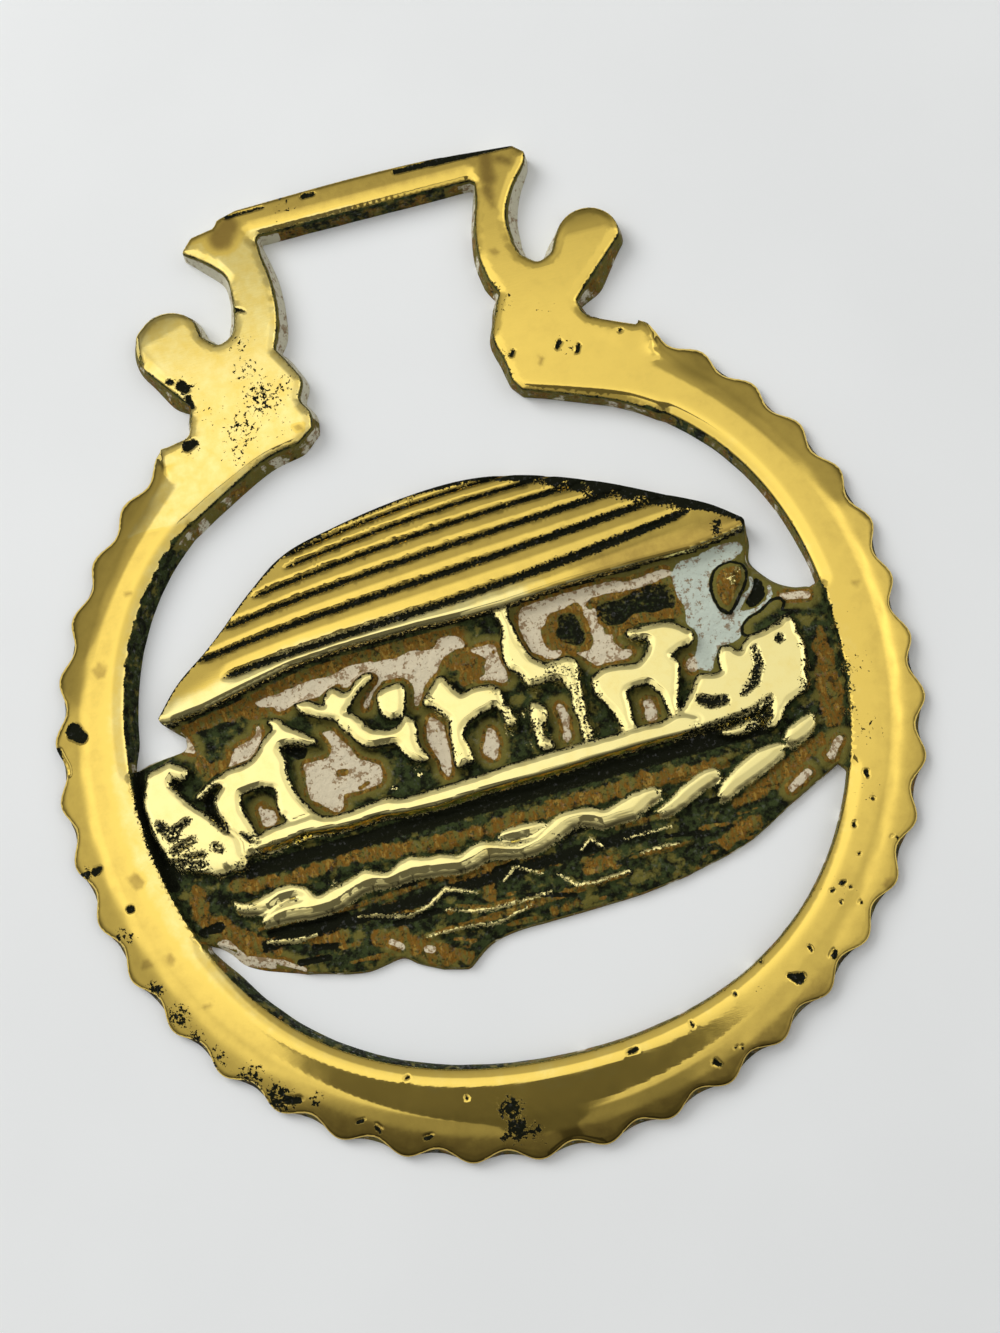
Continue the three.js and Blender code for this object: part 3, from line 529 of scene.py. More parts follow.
RIPPLES = [
    [(-15, -14.9, 0.08), (-12.5, -15.5, 0.12), (-10.6, -16, 0.16), (-8.6, -15.4, 0.16),
     (-7, -14.4, 0.2), (-4.4, -15.4, 0.12)],
    [(-7.3, -16.2, 0.1), (-5.2, -16.9, 0.14), (-3.3, -17.2, 0.16), (2, -16.9, 0.12)],
    [(-9.5, -18.1, 0.1), (-5.5, -18.1, 0.14), (-3.5, -18.5, 0.12), (0, -17.7, 0.1)],
    [(3, -15.6, 0.1), (4.3, -16.8, 0.16), (6, -17.1, 0.14), (9, -16.8, 0.14)],
    [(10.5, -15.6, 0.08), (12, -15.4, 0.12), (14, -15.5, 0.08)],
    [(5.5, -14, 0.08), (6.5, -13.2, 0.12), (7.4, -14.2, 0.1)],
    [(-23.3, -15.2, 0.12), (-21, -15.7, 0.2), (-19, -15.6, 0.1)],
    [(-2, -15.1, 0.08), (-0.6, -14, 0.12), (1.6, -15.2, 0.08)],
    [(9.5, -14, 0.08), (13.7, -13.9, 0.1)],
]

# Low brown ridges and black cracks in the sea.
RIDGES = [
    [(-8.6, -18, 0.3), (-5, -17.9, 0.35), (-1, -17.7, 0.35), (3, -17.4, 0.35), (8, -17, 0.3)],
    [(-23.2, -15, 0.25), (-21, -15.4, 0.35), (-19, -15.4, 0.2)],
    [(-14.5, -14.7, 0.2), (-12, -15.2, 0.3), (-10.4, -15.5, 0.2)],
    [(-6.4, -16.1, 0.2), (-4, -16.9, 0.3), (-1, -16.8, 0.2)],
    [(-24, -13.9, 0.2), (-20, -14, 0.3), (-16, -14, 0.25), (-12, -13.8, 0.3), (-8, -13.4, 0.3),
     (-2, -13.4, 0.3), (2, -13.9, 0.25)],
    [(9, -12.9, 0.25), (12, -12.8, 0.3), (14, -12.9, 0.2)],
    [(6.2, -13.6, 0.4), (7, -13.9, 0.3)], [(9.4, -15.7, 0.15), (13, -15.8, 0.3), (15, -15.6, 0.1)],
]
CRACKS = [
    [(-23, -14.5, 0.25), (-19, -14.5, 0.3), (-16, -14.5, 0.2)], [(-15, -15.1, 0.1), (-11, -15.9, 0.15)],
    [(-12.2, -12.95, 0.15), (-9.6, -13.2, 0.2)], [(0.2, -11.9, 0.25), (3, -11.9, 0.2)],
    [(4.2, -12.2, 0.3), (6.6, -12, 0.25)], [(-12, -16.3, 0.2), (-8, -16.1, 0.2)],
    [(-2.4, -14, 0.25), (-0.4, -13.7, 0.2)], [(0, -16.7, 0.12), (4, -17.7, 0.1)],
    [(-19.5, -16.6, 0.2), (-17.6, -16.9, 0.15)], [(-21, -17.6, 0.2), (-18.4, -17.8, 0.2)],
    [(13, -14.6, 0.1), (16, -15, 0.12)], [(-22.4, -12.15, 0.15), (-19.8, -12, 0.2)],
    [(-29, -12.9, 0.2), (-27.4, -12.8, 0.4)], [(17.6, -12.6, 0.15), (19.2, -12.4, 0.1)],
]
HULL = [[(-26, -9.6, 0.6), (-14, -9.9, 0.8), (0, -9.6, 0.9), (12, -9.2, 0.8), (20, -8.9, 0.4)]]
CHALKY_WALLS = [
    [(-27.4, -14.8, 0.8), (-26, -16.2, 0.5), (-22.5, -17.4, 0.35), (-20.9, -18.3, 0.25)],
    [(24.8, -13.2, 0.3), (26.5, -12.2, 0.35)],
    [(28.9, -11.2, 0.4), (30, -10, 0.3)],
    [(-12.7, -17.8, 0.25), (-11.9, -18.4, 0.25)],
    [(-9.8, -19.2, 0.3), (-9.4, -19.3, 0.3)],
    [(28.6, 3.8, 0.3), (30.6, 3.4, 0.4)],
]
AMBER = [
    [(-25, 5.6, 0.5), (-22, 5.7, 0.6), (-19.5, 5.1, 0.5)],
    [(-26, 2.2, 0.5), (-25.5, 1.2, 0.6), (-24, 1.2, 0.5), (-23.4, 2.4, 0.3)],
    [(-1.4, 5.2, 0.9), (0, 4.6, 1.1), (-1, 3.6, 0.7)],
    [(-25, -9.8, 0.8), (-20, -10.2, 0.5), (-14, -9.6, 0.5), (-6, -10.4, 0.6), (4, -9.8, 0.6),
     (12, -9.5, 0.7), (16.5, -9.8, 0.7), (19.5, -9.4, 0.4)],
    [(30, -8, 0.9), (30.4, -4, 0.9), (31, 0, 0.4)],
    [(-28.6, -9.5, 0.8), (-29, -11.5, 0.6), (-26.4, -13.6, 0.8), (-23.2, -15.8, 0.6)],
    [(-19.4, -15.8, 0.5), (-17, -16.2, 0.6)],
    [(-14, -17.1, 0.5), (-11.5, -17.6, 0.7), (-9, -20, 0.9), (-6.4, -20.6, 0.4)],
    [(6, -15.7, 0.6), (8, -15.5, 0.6)],
    [(20, -13.4, 0.6), (24, -11.8, 0.7), (28.4, -9.6, 0.6)],
    [(18, -16.4, 0.5), (21, -15.2, 0.5)],
    [(2, -18.7, 0.3), (4, -18.5, 0.3)],
    [(-6, -13.9, 0.3), (-3, -14.2, 0.6), (-3.4, -16, 0.5)],
    [(-13.8, -2, 0.35), (-13.3, -2.1, 0.35)],
    [(7.6, 6.8, 0.5), (7.4, 5.2, 0.6), (8.6, 4.2, 0.5)],
    [(-28, 5.6, 0.6), (-27.6, 6, 0.5)],
]
# Spots inside the dried polish where the patina shows.
BARE = [
    [(-13.9, -2, 0.35), (-13.4, -2.05, 0.35)], [(-21.2, -3.35, 0.2), (-21, -3.4, 0.16)],
    [(2.1, 5.4, 0.14), (2.1, 5.3, 0.14)], [(-10, 6.6, 0.1), (-9.6, 6.6, 0.12)],
    [(-11.6, -3.5, 0.2), (-12.4, -3.8, 0.2)], [(-4.6, -0.4, 0.08), (-4.5, -0.5, 0.08)],
]
# Places where grime covers polished brass.
GRIME = [
    [(-31.6, 2.4, 0.25), (-32, -1, 0.3), (-31.5, -5, 0.35), (-30.6, -8.4, 0.3)],
    [(-28.6, 0.6, 0.3), (-28.4, 0.3, 0.3)],
    [(-30.6, -2.8, 0.3), (-29.6, -4, 0.45), (-28.9, -3.4, 0.2), (-28, -3, 0.15)],
    [(-29.8, -5.4, 0.2), (-28.6, -5, 0.25), (-27.8, -4.8, 0.1)],
    [(-30.4, -6.4, 0.35), (-28.8, -6.9, 0.35), (-27.4, -7.2, 0.15)],
    [(-28.9, -6.2, 0.15), (-27.2, -6.3, 0.15)],
    [(-26, -5.9, 0.25), (-25.6, -6.2, 0.2)],
    [(-25.9, -1.4, 0.35), (-25.6, -3.2, 0.4), (-24.8, -4.8, 0.12)],
    [(-23.4, -5.5, 0.1), (-22.7, -6.1, 0.15)],
    [(24.8, -0.4, 0.15), (24.8, -1.9, 0.28), (24, -3.3, 0.35), (22.8, -4.1, 0.12)],
    [(19, -3.7, 0.3), (19.8, -4.2, 0.4), (21, -4.3, 0.3)],
    [(17, -6.6, 0.3), (20, -6.3, 0.22), (23, -5.9, 0.18), (25, -5.1, 0.15)],
    [(27.1, -0.1, 0.25), (27.2, -0.1, 0.25)],
    [(22.5, -7.2, 0.1), (23.6, -7, 0.3), (24.4, -6.6, 0.25)],
    [(-17.9, 1.2, 0.25), (-17, 0.8, 0.5)], [(24.2, 10.9, 0.25), (24.45, 11.4, 0.25)],
]
# Deep black pits in the polished front.
PITS = [
    [(-36.6, 7.6, 0.8), (-35.9, 6.8, 0.6)], [(-38.5, 6.4, 0.3), (-38.6, 4, 0.3)],
    [(-37.2, -5.4, 0.4), (-36.6, -5.2, 0.2)], [(-34.7, -9.5, 0.35), (-34.5, -9.5, 0.35)],
    [(-20.8, 31.1, 0.5), (-20.2, 31.3, 0.4)], [(-20.2, 37.1, 0.5), (-19.8, 36.6, 0.4)],
    [(-19.8, 35.7, 0.3), (-19.6, 34.8, 0.3)], [(-21.2, 37.7, 0.3), (-21, 37.6, 0.25)],
    [(20.2, -29, 0.25), (20.9, -29.4, 0.5), (21.2, -29.3, 0.35)], [(24.4, -28.3, 0.3), (24.6, -27.9, 0.2)],
    [(12.2, -34.5, 0.28), (12.5, -34.8, 0.2)], [(11, -30.8, 0.14), (11.1, -31.1, 0.14)],
    [(15.3, -29.3, 0.16), (15.3, -29.4, 0.16)], [(18.1, -27.2, 0.2), (18.2, -27.2, 0.12)],
    [(22.5, -27, 0.15), (22.6, -27.4, 0.12)], [(5.2, -32, 0.2), (5.9, -31.9, 0.2)],
    [(-14, -29.6, 0.16), (-13.8, -29.5, 0.14)], [(-9.3, -32.4, 0.16), (-9.3, -32.5, 0.12)],
    [(26.6, -22.4, 0.2), (26.9, -22.3, 0.14)], [(25.6, -22.8, 0.16), (25.8, -22.8, 0.14)],
    [(27.3, -22.9, 0.14), (27.4, -22.9, 0.1)], [(26.1, -24, 0.15), (26.2, -23.9, 0.12)],
    [(27.9, -24.4, 0.18), (27.8, -24.3, 0.1)], [(31.3, -13.5, 0.25), (31.3, -13.9, 0.18)],
    [(31.2, -15.9, 0.15), (31.3, -16, 0.12)], [(29, -17.8, 0.2), (29.1, -17.5, 0.12)],
    [(28.8, -20.3, 0.15), (28.7, -20.3, 0.1)], [(32.4, -19.7, 0.16), (32.5, -19.7, 0.12)],
    [(14.2, -33.8, 0.14), (14.3, -33.8, 0.1)], [(14.8, -34, 0.16), (14.9, -34, 0.1)],
    [(-12.6, 52.3, 0.2), (-8.9, 52.4, 0.12)], [(-5, 52.4, 0.3), (-4, 52.4, 0.2)],
    [(4, 52.5, 0.25), (9, 52.4, 0.4), (15, 52.2, 0.25)],
    [(10.4, 31.9, 0.25), (10.6, 32.2, 0.2)], [(14.6, 31.5, 0.2), (15, 32, 0.22)],
    [(16.3, 30.6, 0.2), (16.6, 31.2, 0.22)], [(20.6, 31.6, 0.16), (20.8, 31.6, 0.12)],
    [(-12.8, 42.6, 0.1), (-13.6, 43, 0.2)], [(-24.6, -29, 0.35), (-23.6, -29.2, 0.3)],
    [(-19, -32.2, 0.2), (-18.5, -32.2, 0.15)], [(-17.5, -33, 0.2), (-17.3, -33.5, 0.2)],
    [(-13.6, -34.9, 0.2), (-13, -34.9, 0.15)],
]
# Round grey stains, and tarnish on the bar ends.
STAINS = [
    [(-33.7, -7, 0.7), (-33.5, -7.3, 0.7)], [(-34.3, -14.5, 0.55), (-34.2, -14.6, 0.5)],
    [(-32.1, -14.7, 0.5), (-32, -14.7, 0.5)], [(-29.7, -19.4, 0.35), (-29.6, -19.4, 0.3)],
    [(-33.1, 12.3, 0.7), (-33, 12.4, 0.7)], [(-29.1, 18.8, 0.35), (-29, 18.8, 0.3)],
    [(30.7, -23.3, 0.6), (30.8, -23.3, 0.5)], [(12.9, 30.6, 0.35), (12.9, 31.1, 0.15)],
    [(-10.4, 30.3, 0.4), (-10.2, 30.2, 0.35)], [(35, 3, 0.35), (35.1, 3, 0.3)],
    [(11.2, 42.1, 0.5), (11.3, 42.1, 0.45)],
]
TARNISH = [
    [(-13.4, 50.4, 1.6), (-12.5, 51.4, 1.4)], [(12.6, 51.6, 1.1), (12.4, 49.4, 1.1)],
    [(12, 48.4, 0.9), (12.2, 46.6, 0.6)], [(13.8, 51.2, 0.8), (14.6, 50.6, 0.7)],
]
# Where polished metal and grime are mixed in fine specks: x, y, reach and amount.
SPECKLES = [
    (-4.4, 2.3, 0.6, 0.8), (-4, 0.9, 0.6, 0.9), (-3.2, 0, 0.4, 0.7), (-3, -3.2, 0.5, 0.6),
    (-2.2, -3.8, 0.5, 0.7), (1.3, 1.6, 0.6, 0.7), (2.3, -0.6, 0.8, 1), (1.9, -2, 0.9, 0.8),
    (4.2, 2, 0.7, 0.7), (5.4, 1.8, 0.7, 0.7), (6.8, 2, 1, 1), (8.1, 1.8, 0.8, 0.9),
    (8.4, 0, 0.8, 1), (8.5, -1.6, 0.9, 1), (8.5, -3.2, 0.9, 1), (8.9, -4.4, 0.8, 0.8),
    (3.6, 4, 0.5, 0.5), (3.6, 8.8, 0.5, 0.8), (5, -3.6, 0.7, 0.9), (4.4, -2.2, 0.7, 0.9),
    (5.2, -1.2, 0.5, 0.8), (3.2, -3.6, 0.8, 0.6), (14.4, 3.3, 0.6, 0.7), (15.2, 2.8, 0.7, 0.8),
    (14.6, 3.8, 0.5, 0.8), (10.4, 0, 0.5, 0.7), (10.6, -1, 0.5, 0.6), (11.4, -4.4, 0.6, 0.6),
    (16.4, -4.4, 0.6, 0.6), (18.8, -2.2, 0.6, 0.6), (28.3, -4.4, 0.9, 0.9), (28.8, -1, 0.6, 0.7),
    (27.6, 1.4, 0.7, 0.6), (28.8, -2.8, 0.8, 0.8), (16, -6.3, 0.5, 0.7), (18, -6.2, 0.6, 0.9),
    (20.5, -6.2, 0.6, 0.9), (22.6, -5.9, 0.6, 0.9), (24.4, -5.2, 0.5, 0.7), (22.2, -7.3, 0.5, 0.6),
    (23.8, -6.9, 0.7, 0.9), (-29.6, -4, 0.9, 0.8), (-28.6, -5.2, 1, 0.9), (-29, -6.6, 1.1, 1),
    (-27.4, -7.4, 0.9, 0.8), (-25.9, -6, 0.5, 0.8), (-24.4, -8.2, 1, 0.8), (-22.4, -7.4, 0.9, 1),
    (-20.8, -7.2, 0.8, 0.9), (-18.5, -7.5, 0.6, 0.7), (-16, -7.7, 0.6, 0.5), (-26.2, -8.4, 0.7, 0.7),
    (-16.5, -11.6, 0.7, 0.8), (-24, -11.8, 0.6, 0.7),
    (13.4, -10.8, 0.5, 0.6), (11, -12.2, 0.5, 0.7), (18.9, -10.2, 0.4, 0.6), (28.2, -7.4, 0.5, 0.8),
    (-13, -12.7, 0.5, 0.6), (3.6, -12.5, 0.6, 0.8), (5.8, -12.1, 0.6, 0.5), (32.1, -4, 0.7, 0.9),
    (32.1, -6, 0.7, 0.9), (32.2, -2, 0.6, 0.8), (32.1, 0, 0.6, 0.7), (32, 2, 0.5, 0.6),
    (31.6, -8, 0.8, 0.9), (24.4, 6.6, 0.6, 0.95), (23.6, 7, 0.4, 0.8), (-12.2, 1.6, 0.5, 0.7),
    (-7, -3.2, 0.5, 0.8), (-9.4, -4.5, 0.45, 1), (-6.9, -3.9, 0.4, 1), (26, -9.7, 0.5, 0.9),
    (10.5, 38.8, 0.6, 0.9), (10.1, 36.8, 0.5, 0.8), (9.6, 34.6, 0.4, 0.7), (9.7, 32.2, 0.5, 0.8),
    (10.1, 30, 0.4, 0.7), (-9.7, 36.4, 0.4, 0.7), (-9.5, 33.6, 0.5, 0.8), (-9.5, 31.4, 0.4, 0.7),
    (-12.4, 28.7, 0.5, 0.6), (-14.8, 28, 0.5, 0.7), (-17.6, 26.6, 0.4, 0.6), (10.2, 45.6, 0.4, 0.8),
    (24.4, 6.4, 0.8, 0.9), (25.2, 7.2, 0.6, 0.9), (5, 1.3, 0.9, 0.85), (7, 1.5, 1, 0.85),
    (8.9, 1.2, 0.8, 0.85),
    (8.8, -1.5, 0.8, 0.85), (8.4, -3.8, 0.7, 0.8), (4.5, -2.8, 0.8, 0.8), (3.6, -0.8, 0.8, 0.8),
    (10, 19.5, 0.7, 0.8), (12, 18.6, 0.8, 0.8), (14, 17.6, 0.8, 0.75), (16.2, 16.6, 0.8, 0.75),
    (18.6, 15.4, 0.8, 0.75), (21, 14.2, 0.7, 0.75), (-2, 21, 0.5, 0.7), (-7, 20, 0.6, 0.7),
    (3, 21, 0.5, 0.7),
    (17.7, -6.2, 0.7, 0.6), (21.7, -6.4, 0.6, 0.5), (6.8, -4.8, 0.7, 0.45), (2.8, 3.2, 0.4, 0.4),
]
# Clouds of small pits: x, y, reach and how thickly they lie.
PIT_CLOUDS = [
    (-14, 36.8, 2.2, 0.62), (-13.2, 33.8, 2.8, 0.74), (-15.4, 31.4, 2.6, 0.68), (-16.4, 29, 2, 0.6),
    (-13.8, 39.6, 1.4, 0.66), (-11, 34.4, 1.6, 0.6), (-11.6, 30.8, 2, 0.45), (-20.6, 31.2, 1.5, 0.7),
    (-20, 36.8, 1.5, 0.8), (-18, 33.6, 2.4, 0.42), (-10, 35, 1, 0.6), (11, 37, 1.8, 0.5),
    (-5.8, -34.2, 1.4, 1.1), (-5.6, -36, 1.5, 1.1), (-7, -36.4, 0.8, 0.9), (-4, -36.6, 1, 0.9),
    (-32.5, -19.6, 1.5, 0.9), (-35.8, -11.8, 1.3, 0.8), (-34.2, -17, 1.3, 0.9), (-38.2, -5.4, 0.9, 1),
    (-30, -24, 1.6, 0.7), (-27.4, -26.4, 1.7, 0.9), (-25.2, -28.6, 1.8, 1), (-22, -29.6, 1.2, 0.8),
    (-31.4, -22, 1.3, 0.8), (32.8, -4, 2.2, 0.5), (32.4, -10, 2.2, 0.5), (34.4, 1, 2, 0.35),
    (15.5, 31.4, 1.6, 0.5), (14.6, 35.5, 2, 0.35), (13.8, 38, 1, 0.4), (17.2, -29.4, 1, 0.5),
    (-7, 52.4, 2.4, 0.5), (31, -15, 2.4, 0.35), (26.6, -23, 2.4, 0.4),
]


def stroke_depth(x, y, strokes, soft=0.0):
    """How deep points lie inside strokes, in millimetres, negative outside them."""
    depth = np.full(x.shape, -50.0)
    for nodes in strokes:
        own = np.full(x.shape, -50.0)
        for (ax, ay, near), (bx, by, far) in zip(nodes, nodes[1:]):
            span = max((bx - ax) ** 2 + (by - ay) ** 2, 1e-9)
            along = np.clip(((x - ax) * (bx - ax) + (y - ay) * (by - ay)) / span, 0, 1)
            gap = np.hypot(x - ax - along * (bx - ax), y - ay - along * (by - ay))
            own = np.maximum(own, near + along * (far - near) - gap)
        depth = blend_max(depth, own, soft) if soft else np.maximum(depth, own)
    return depth


def area_depth(x, y, outlines, margin=1.5):
    """How deep points lie inside closed smooth outlines, negative outside them."""
    depth = np.full(x.shape, -margin)
    for outline in outlines:
        nodes = np.array([tuple(point)[:2] for point in curve([*outline, outline[0]], 0, 0.2)][:-1])
        low, high = nodes.min(axis=0) - margin, nodes.max(axis=0) + margin
        near = np.flatnonzero((x > low[0]) & (x < high[0]) & (y > low[1]) & (y < high[1]))
        px, py = x[near], y[near]
        gap, inside = np.full(px.shape, margin ** 2), np.zeros(px.shape, bool)
        for (ax, ay), (bx, by) in zip(nodes, np.roll(nodes, -1, axis=0)):
            dx, dy = bx - ax, by - ay
            along = np.clip(((px - ax) * dx + (py - ay) * dy) / (dx * dx + dy * dy), 0, 1)
            gap = np.minimum(gap, (px - ax - along * dx) ** 2 + (py - ay - along * dy) ** 2)
            if ay != by:
                inside ^= ((ay > py) != (by > py)) & (px < ax + (py - ay) / dy * dx)
        depth[near] = np.maximum(depth[near], np.sqrt(gap) * np.where(inside, 1, -1))
    return depth


# ---------------------------------------------------------------- heights of the front

RIM_SLOPE = 0.46
PLATE_TOP = 22
HANGER_FOOT = 24

# Tops of the raised forms above the back.
FIGURE_TOP = 2.15
RAIL_TOP = 2.25
CREST_TOP = 1.9
CREST_FLANK = 1.85
KNOB_TOP = 1.8
FENDER_TOP = 1.5
LOWEST_FRONT = 0.35

PLANK_WIDTH = 2.3

# Where the polished top of the rail ends and its lower flank begins.
RAIL_FOOT = [
    (-22, -7), (-20, -6.9), (-18, -6.55), (-16, -6.75), (-14, -6.9), (-11, -6.7), (-9, -6.95),
    (-6, -7.1), (-4, -6.95), (-2, -6.8), (2, -6.7), (5.5, -6.6), (9, -6.4), (12, -6.3),
    (15, -6.2), (18, -6.3), (30, -9),
]


def height_on(line, x):
    xs, ys = zip(*line)
    return np.interp(x, xs, ys)


def plank_row(x, y):
    """Which groove of the roof a point lies on, as a number that rises between grooves."""
    row = np.clip((y - 10.6 - 0.08 * x) / 2.4, 0, 5)
    for _ in range(2):
        sag = 0.00008 * np.maximum(0, -x) ** 3 * np.clip(1 - row / 3.5, 0, 1)
        pitch = 2.87 - 0.0012 * x * x
        rise = y + sag - 10.6 - 0.08 * x - 0.0018 * x * x
        row = (pitch - np.sqrt(np.maximum(pitch * pitch - 0.68 * rise, 0))) / 0.34
    return row


def roof_height(x, y, sizes):
    """The roof falls from the eave to its upper edge."""
    eave = height_on(EAVE, x)
    width = np.maximum(height_on(ROOF_EDGE, x) - eave, 1)
    top = sizes["eave_height"]
    fall = (top - 1.5) * np.minimum(1, width / 12)
    return top - fall * np.clip((y - eave) / width, 0, 1) ** 1.5


def ring_height(x, y, sizes, to_edge):
    """The ring and the hanger: flat on top, rounded to the openings, falling to the tips."""
    face = sizes["face_height"]
    radius, turn = np.hypot(x, y), np.arctan2(y, x)
    inside = radius - inner_radius(turn)
    on_hanger = smoothstep(24, 30, y) * smoothstep(27, 20, np.abs(x))
    shoulder = 1.35 - 0.9 * on_hanger
    drop = (0.3 - 0.16 * on_hanger) * (1 - np.clip(to_edge / shoulder, 0, 1)) ** 2
    drop = np.where(y > 44, 0.14 * (1 - np.clip(to_edge / 0.35, 0, 1)) ** 2, drop)
    past = radius - sizes["ridge_radius"]
    reach = sizes["tip_radius"] - sizes["ridge_radius"]
    slope = RIM_SLOPE * (np.hypot(past + 0.1, 1.1) + past - 0.5) / 2
    slope = np.where(past > -1.6, np.maximum(slope, 0), 0)
    brim = 0.16 * np.clip(1 - to_edge / 0.4, 0, 1) ** 2
    fall = (1 - on_hanger) * (np.minimum(slope, RIM_SLOPE * reach) + brim)
    height = face - np.where((past > -1.6) & (on_hanger < 0.5), fall, drop)
    # The lower half of the bar and the tops of the two lobes are rounded off.
    height -= 0.1 * smoothstep(51.3, 49.9, y) * (np.abs(x) < 11) * (y > 49)
    beyond = np.where(x < 0, y - 42.6 - 0.31 * (x + 20.5), y - 42.2)
    height -= 0.1 * np.clip(beyond, 0, 3) ** 1.5 * (np.abs(x) > 16.5) * (y > 38) * (y < 46)
    # Inside the opening the wall runs down to the plate.
    wall = face - 0.3 - 2.2 * np.clip(-inside, 0, 2)
    return np.where((inside < 0) & (y < PLATE_TOP), wall, height)


def rounded(height, depth, top, foot=0.28, crown=0.0, radius=0.7, flank=0.0):
    """Raises a form with drafted sides, a worn flank 0.42 wide and a slightly crowned top."""
    rise = smoothstep(-foot - 0.08, -0.06, depth)
    summit = top - crown * (1 - np.clip(depth / radius, 0, 1)) ** 1.5
    summit = summit - flank * np.clip(1 - depth / 0.42, 0, 1)
    return height + (summit - height) * rise


class Front:
    """Depths and heights of every part of the front at a set of points."""

    def __init__(self, x, y, to_edge, sizes):
        self.x, self.y, self.to_edge = x, y, to_edge
        wx = x + 0.05 * noise(x, y, 0.7, 11)
        wy = y + 0.05 * noise(x, y, 0.7, 12)
        animals = area_depth(wx, wy, ANIMALS)
        self.animals = np.minimum(animals, -area_depth(wx, wy, [DOG_GAP]))
        self.volute = stroke_depth(wx, wy, VOLUTE)
        self.rail = area_depth(wx, wy, [RAIL])
        self.bow = area_depth(wx, wy, [BOW, STRAKE])
        self.crests = area_depth(wx, wy, CRESTS)
        self.flanks = area_depth(wx, wy + 0.6, CRESTS)
        self.ripples = stroke_depth(wx, wy, RIPPLES)
        self.hull = stroke_depth(wx, wy, HULL)
        self.ridges = stroke_depth(wx, wy, RIDGES)
        self.cracks = stroke_depth(wx, wy, CRACKS)
        self.knob = area_depth(wx, wy, [KNOB])
        self.fender = area_depth(wx, wy, [FENDER])
        self.pocket = area_depth(wx, wy, [POCKET])
        self.windows = area_depth(wx, wy, WINDOWS)
        self.grime = stroke_depth(wx, wy, GRIME) + 0.08
        self.pits = stroke_depth(wx, wy, PITS)
        self.inside = np.hypot(x, y) - inner_radius(np.arctan2(y, x))
        self.eave = height_on(EAVE, x)
        self.roof_edge = height_on(ROOF_EDGE, x)
        self.row = plank_row(x, y)
        self.over_roof = np.minimum.reduce([y - self.eave, x + 28.6, 26.8 - x, self.roof_edge + 1.5 - y])
        self.on_plate = (self.inside < -0.02) & (y < PLATE_TOP)
        self.height = self.heights(sizes)

    def heights(self, sizes):
        x, y = self.x, self.y
        ground = sizes["ground_height"] + 0.05 * rough_noise(x, y, 2.4, 3) + 0.02 * rough_noise(x, y, 0.6, 5)
        sea = smoothstep(-12.5, -14, y)
        ground = ground + sea * (0.12 * rough_noise(x, y * 1.6, 1.7, 21) - 0.05)
        ground = ground - 0.15 * smoothstep(1.5, 0, np.abs(y + 8 - 0.03 * x)) * (np.abs(x) < 24)
        ground = ground - 0.25 * smoothstep(-0.25, 0.35, self.windows)
        ground = ground - 0.25 * smoothstep(0.8, 0, self.to_edge)
        ground = rounded(ground, self.hull, ground + 0.3, 0.6)
        ground = rounded(ground, self.ridges, ground + 0.22, 0.35, 0.1, 0.3)
        ground = ground - 0.2 * smoothstep(-0.15, 0.15, self.cracks)
        slope = np.clip(-self.crests / 0.62, 0, 1)
        ground = rounded(ground, self.flanks, CREST_FLANK - 0.45 * slope, 0.3)
        ground = rounded(ground, self.crests, CREST_TOP, 0.25, flank=0.08)
        ground = rounded(ground, self.ripples + 0.05, ground + 0.3, 0.35, 0.1, 0.2)
        ground = rounded(ground, self.knob, KNOB_TOP, 0.3, 0.5, 1.4)
        ground = ground - 0.3 * smoothstep(-0.2, 0.2, self.pocket)
        ground = rounded(ground, self.fender, FENDER_TOP, 0.25, 0.3, 0.8)
        forms = np.maximum.reduce([self.animals, self.volute, self.bow, self.rail])
        ground = ground + 0.35 * smoothstep(-0.8, -0.15, forms)
        ground = ground + 0.6 * smoothstep(-1.5, -0.2, self.over_roof) * (x > -27)
        ground = rounded(ground, self.animals, FIGURE_TOP, 0.34, flank=0.12)
        ground = rounded(ground, self.volute, FIGURE_TOP, 0.3, 0.06, 1.2, 0.08)
        ground = rounded(ground, self.bow, FIGURE_TOP, 0.3, flank=0.11)
        rail_foot = height_on(RAIL_FOOT, x)
        flank = 0.75 * np.clip((rail_foot + 0.08 - y) / 0.5, 0, 1.2)
        ground = rounded(ground, self.rail, RAIL_TOP - flank, 0.3, flank=0.12 * (y > rail_foot + 0.5))
        ground = ground - 0.28 * smoothstep(-0.12, 0.3, self.grime)
        roof = roof_height(x, y, sizes)
        lip = 0.08 * np.clip(1 - (y - self.eave) / 0.4, 0, 1) + 0.8 * np.clip(self.eave - y, 0, 0.24)
        ground = ground + (roof - lip - ground) * smoothstep(-0.4, -0.2, self.over_roof)
        ring = ring_height(x, y, sizes, self.to_edge)
        height = np.where(self.on_plate, blend_max(ground, ring, 0.08), ring)
        height = height - 0.14 * smoothstep(-0.02, 0.12, self.pits)
        return np.clip(height, LOWEST_FRONT, None)


# ---------------------------------------------------------------- the sheet of points

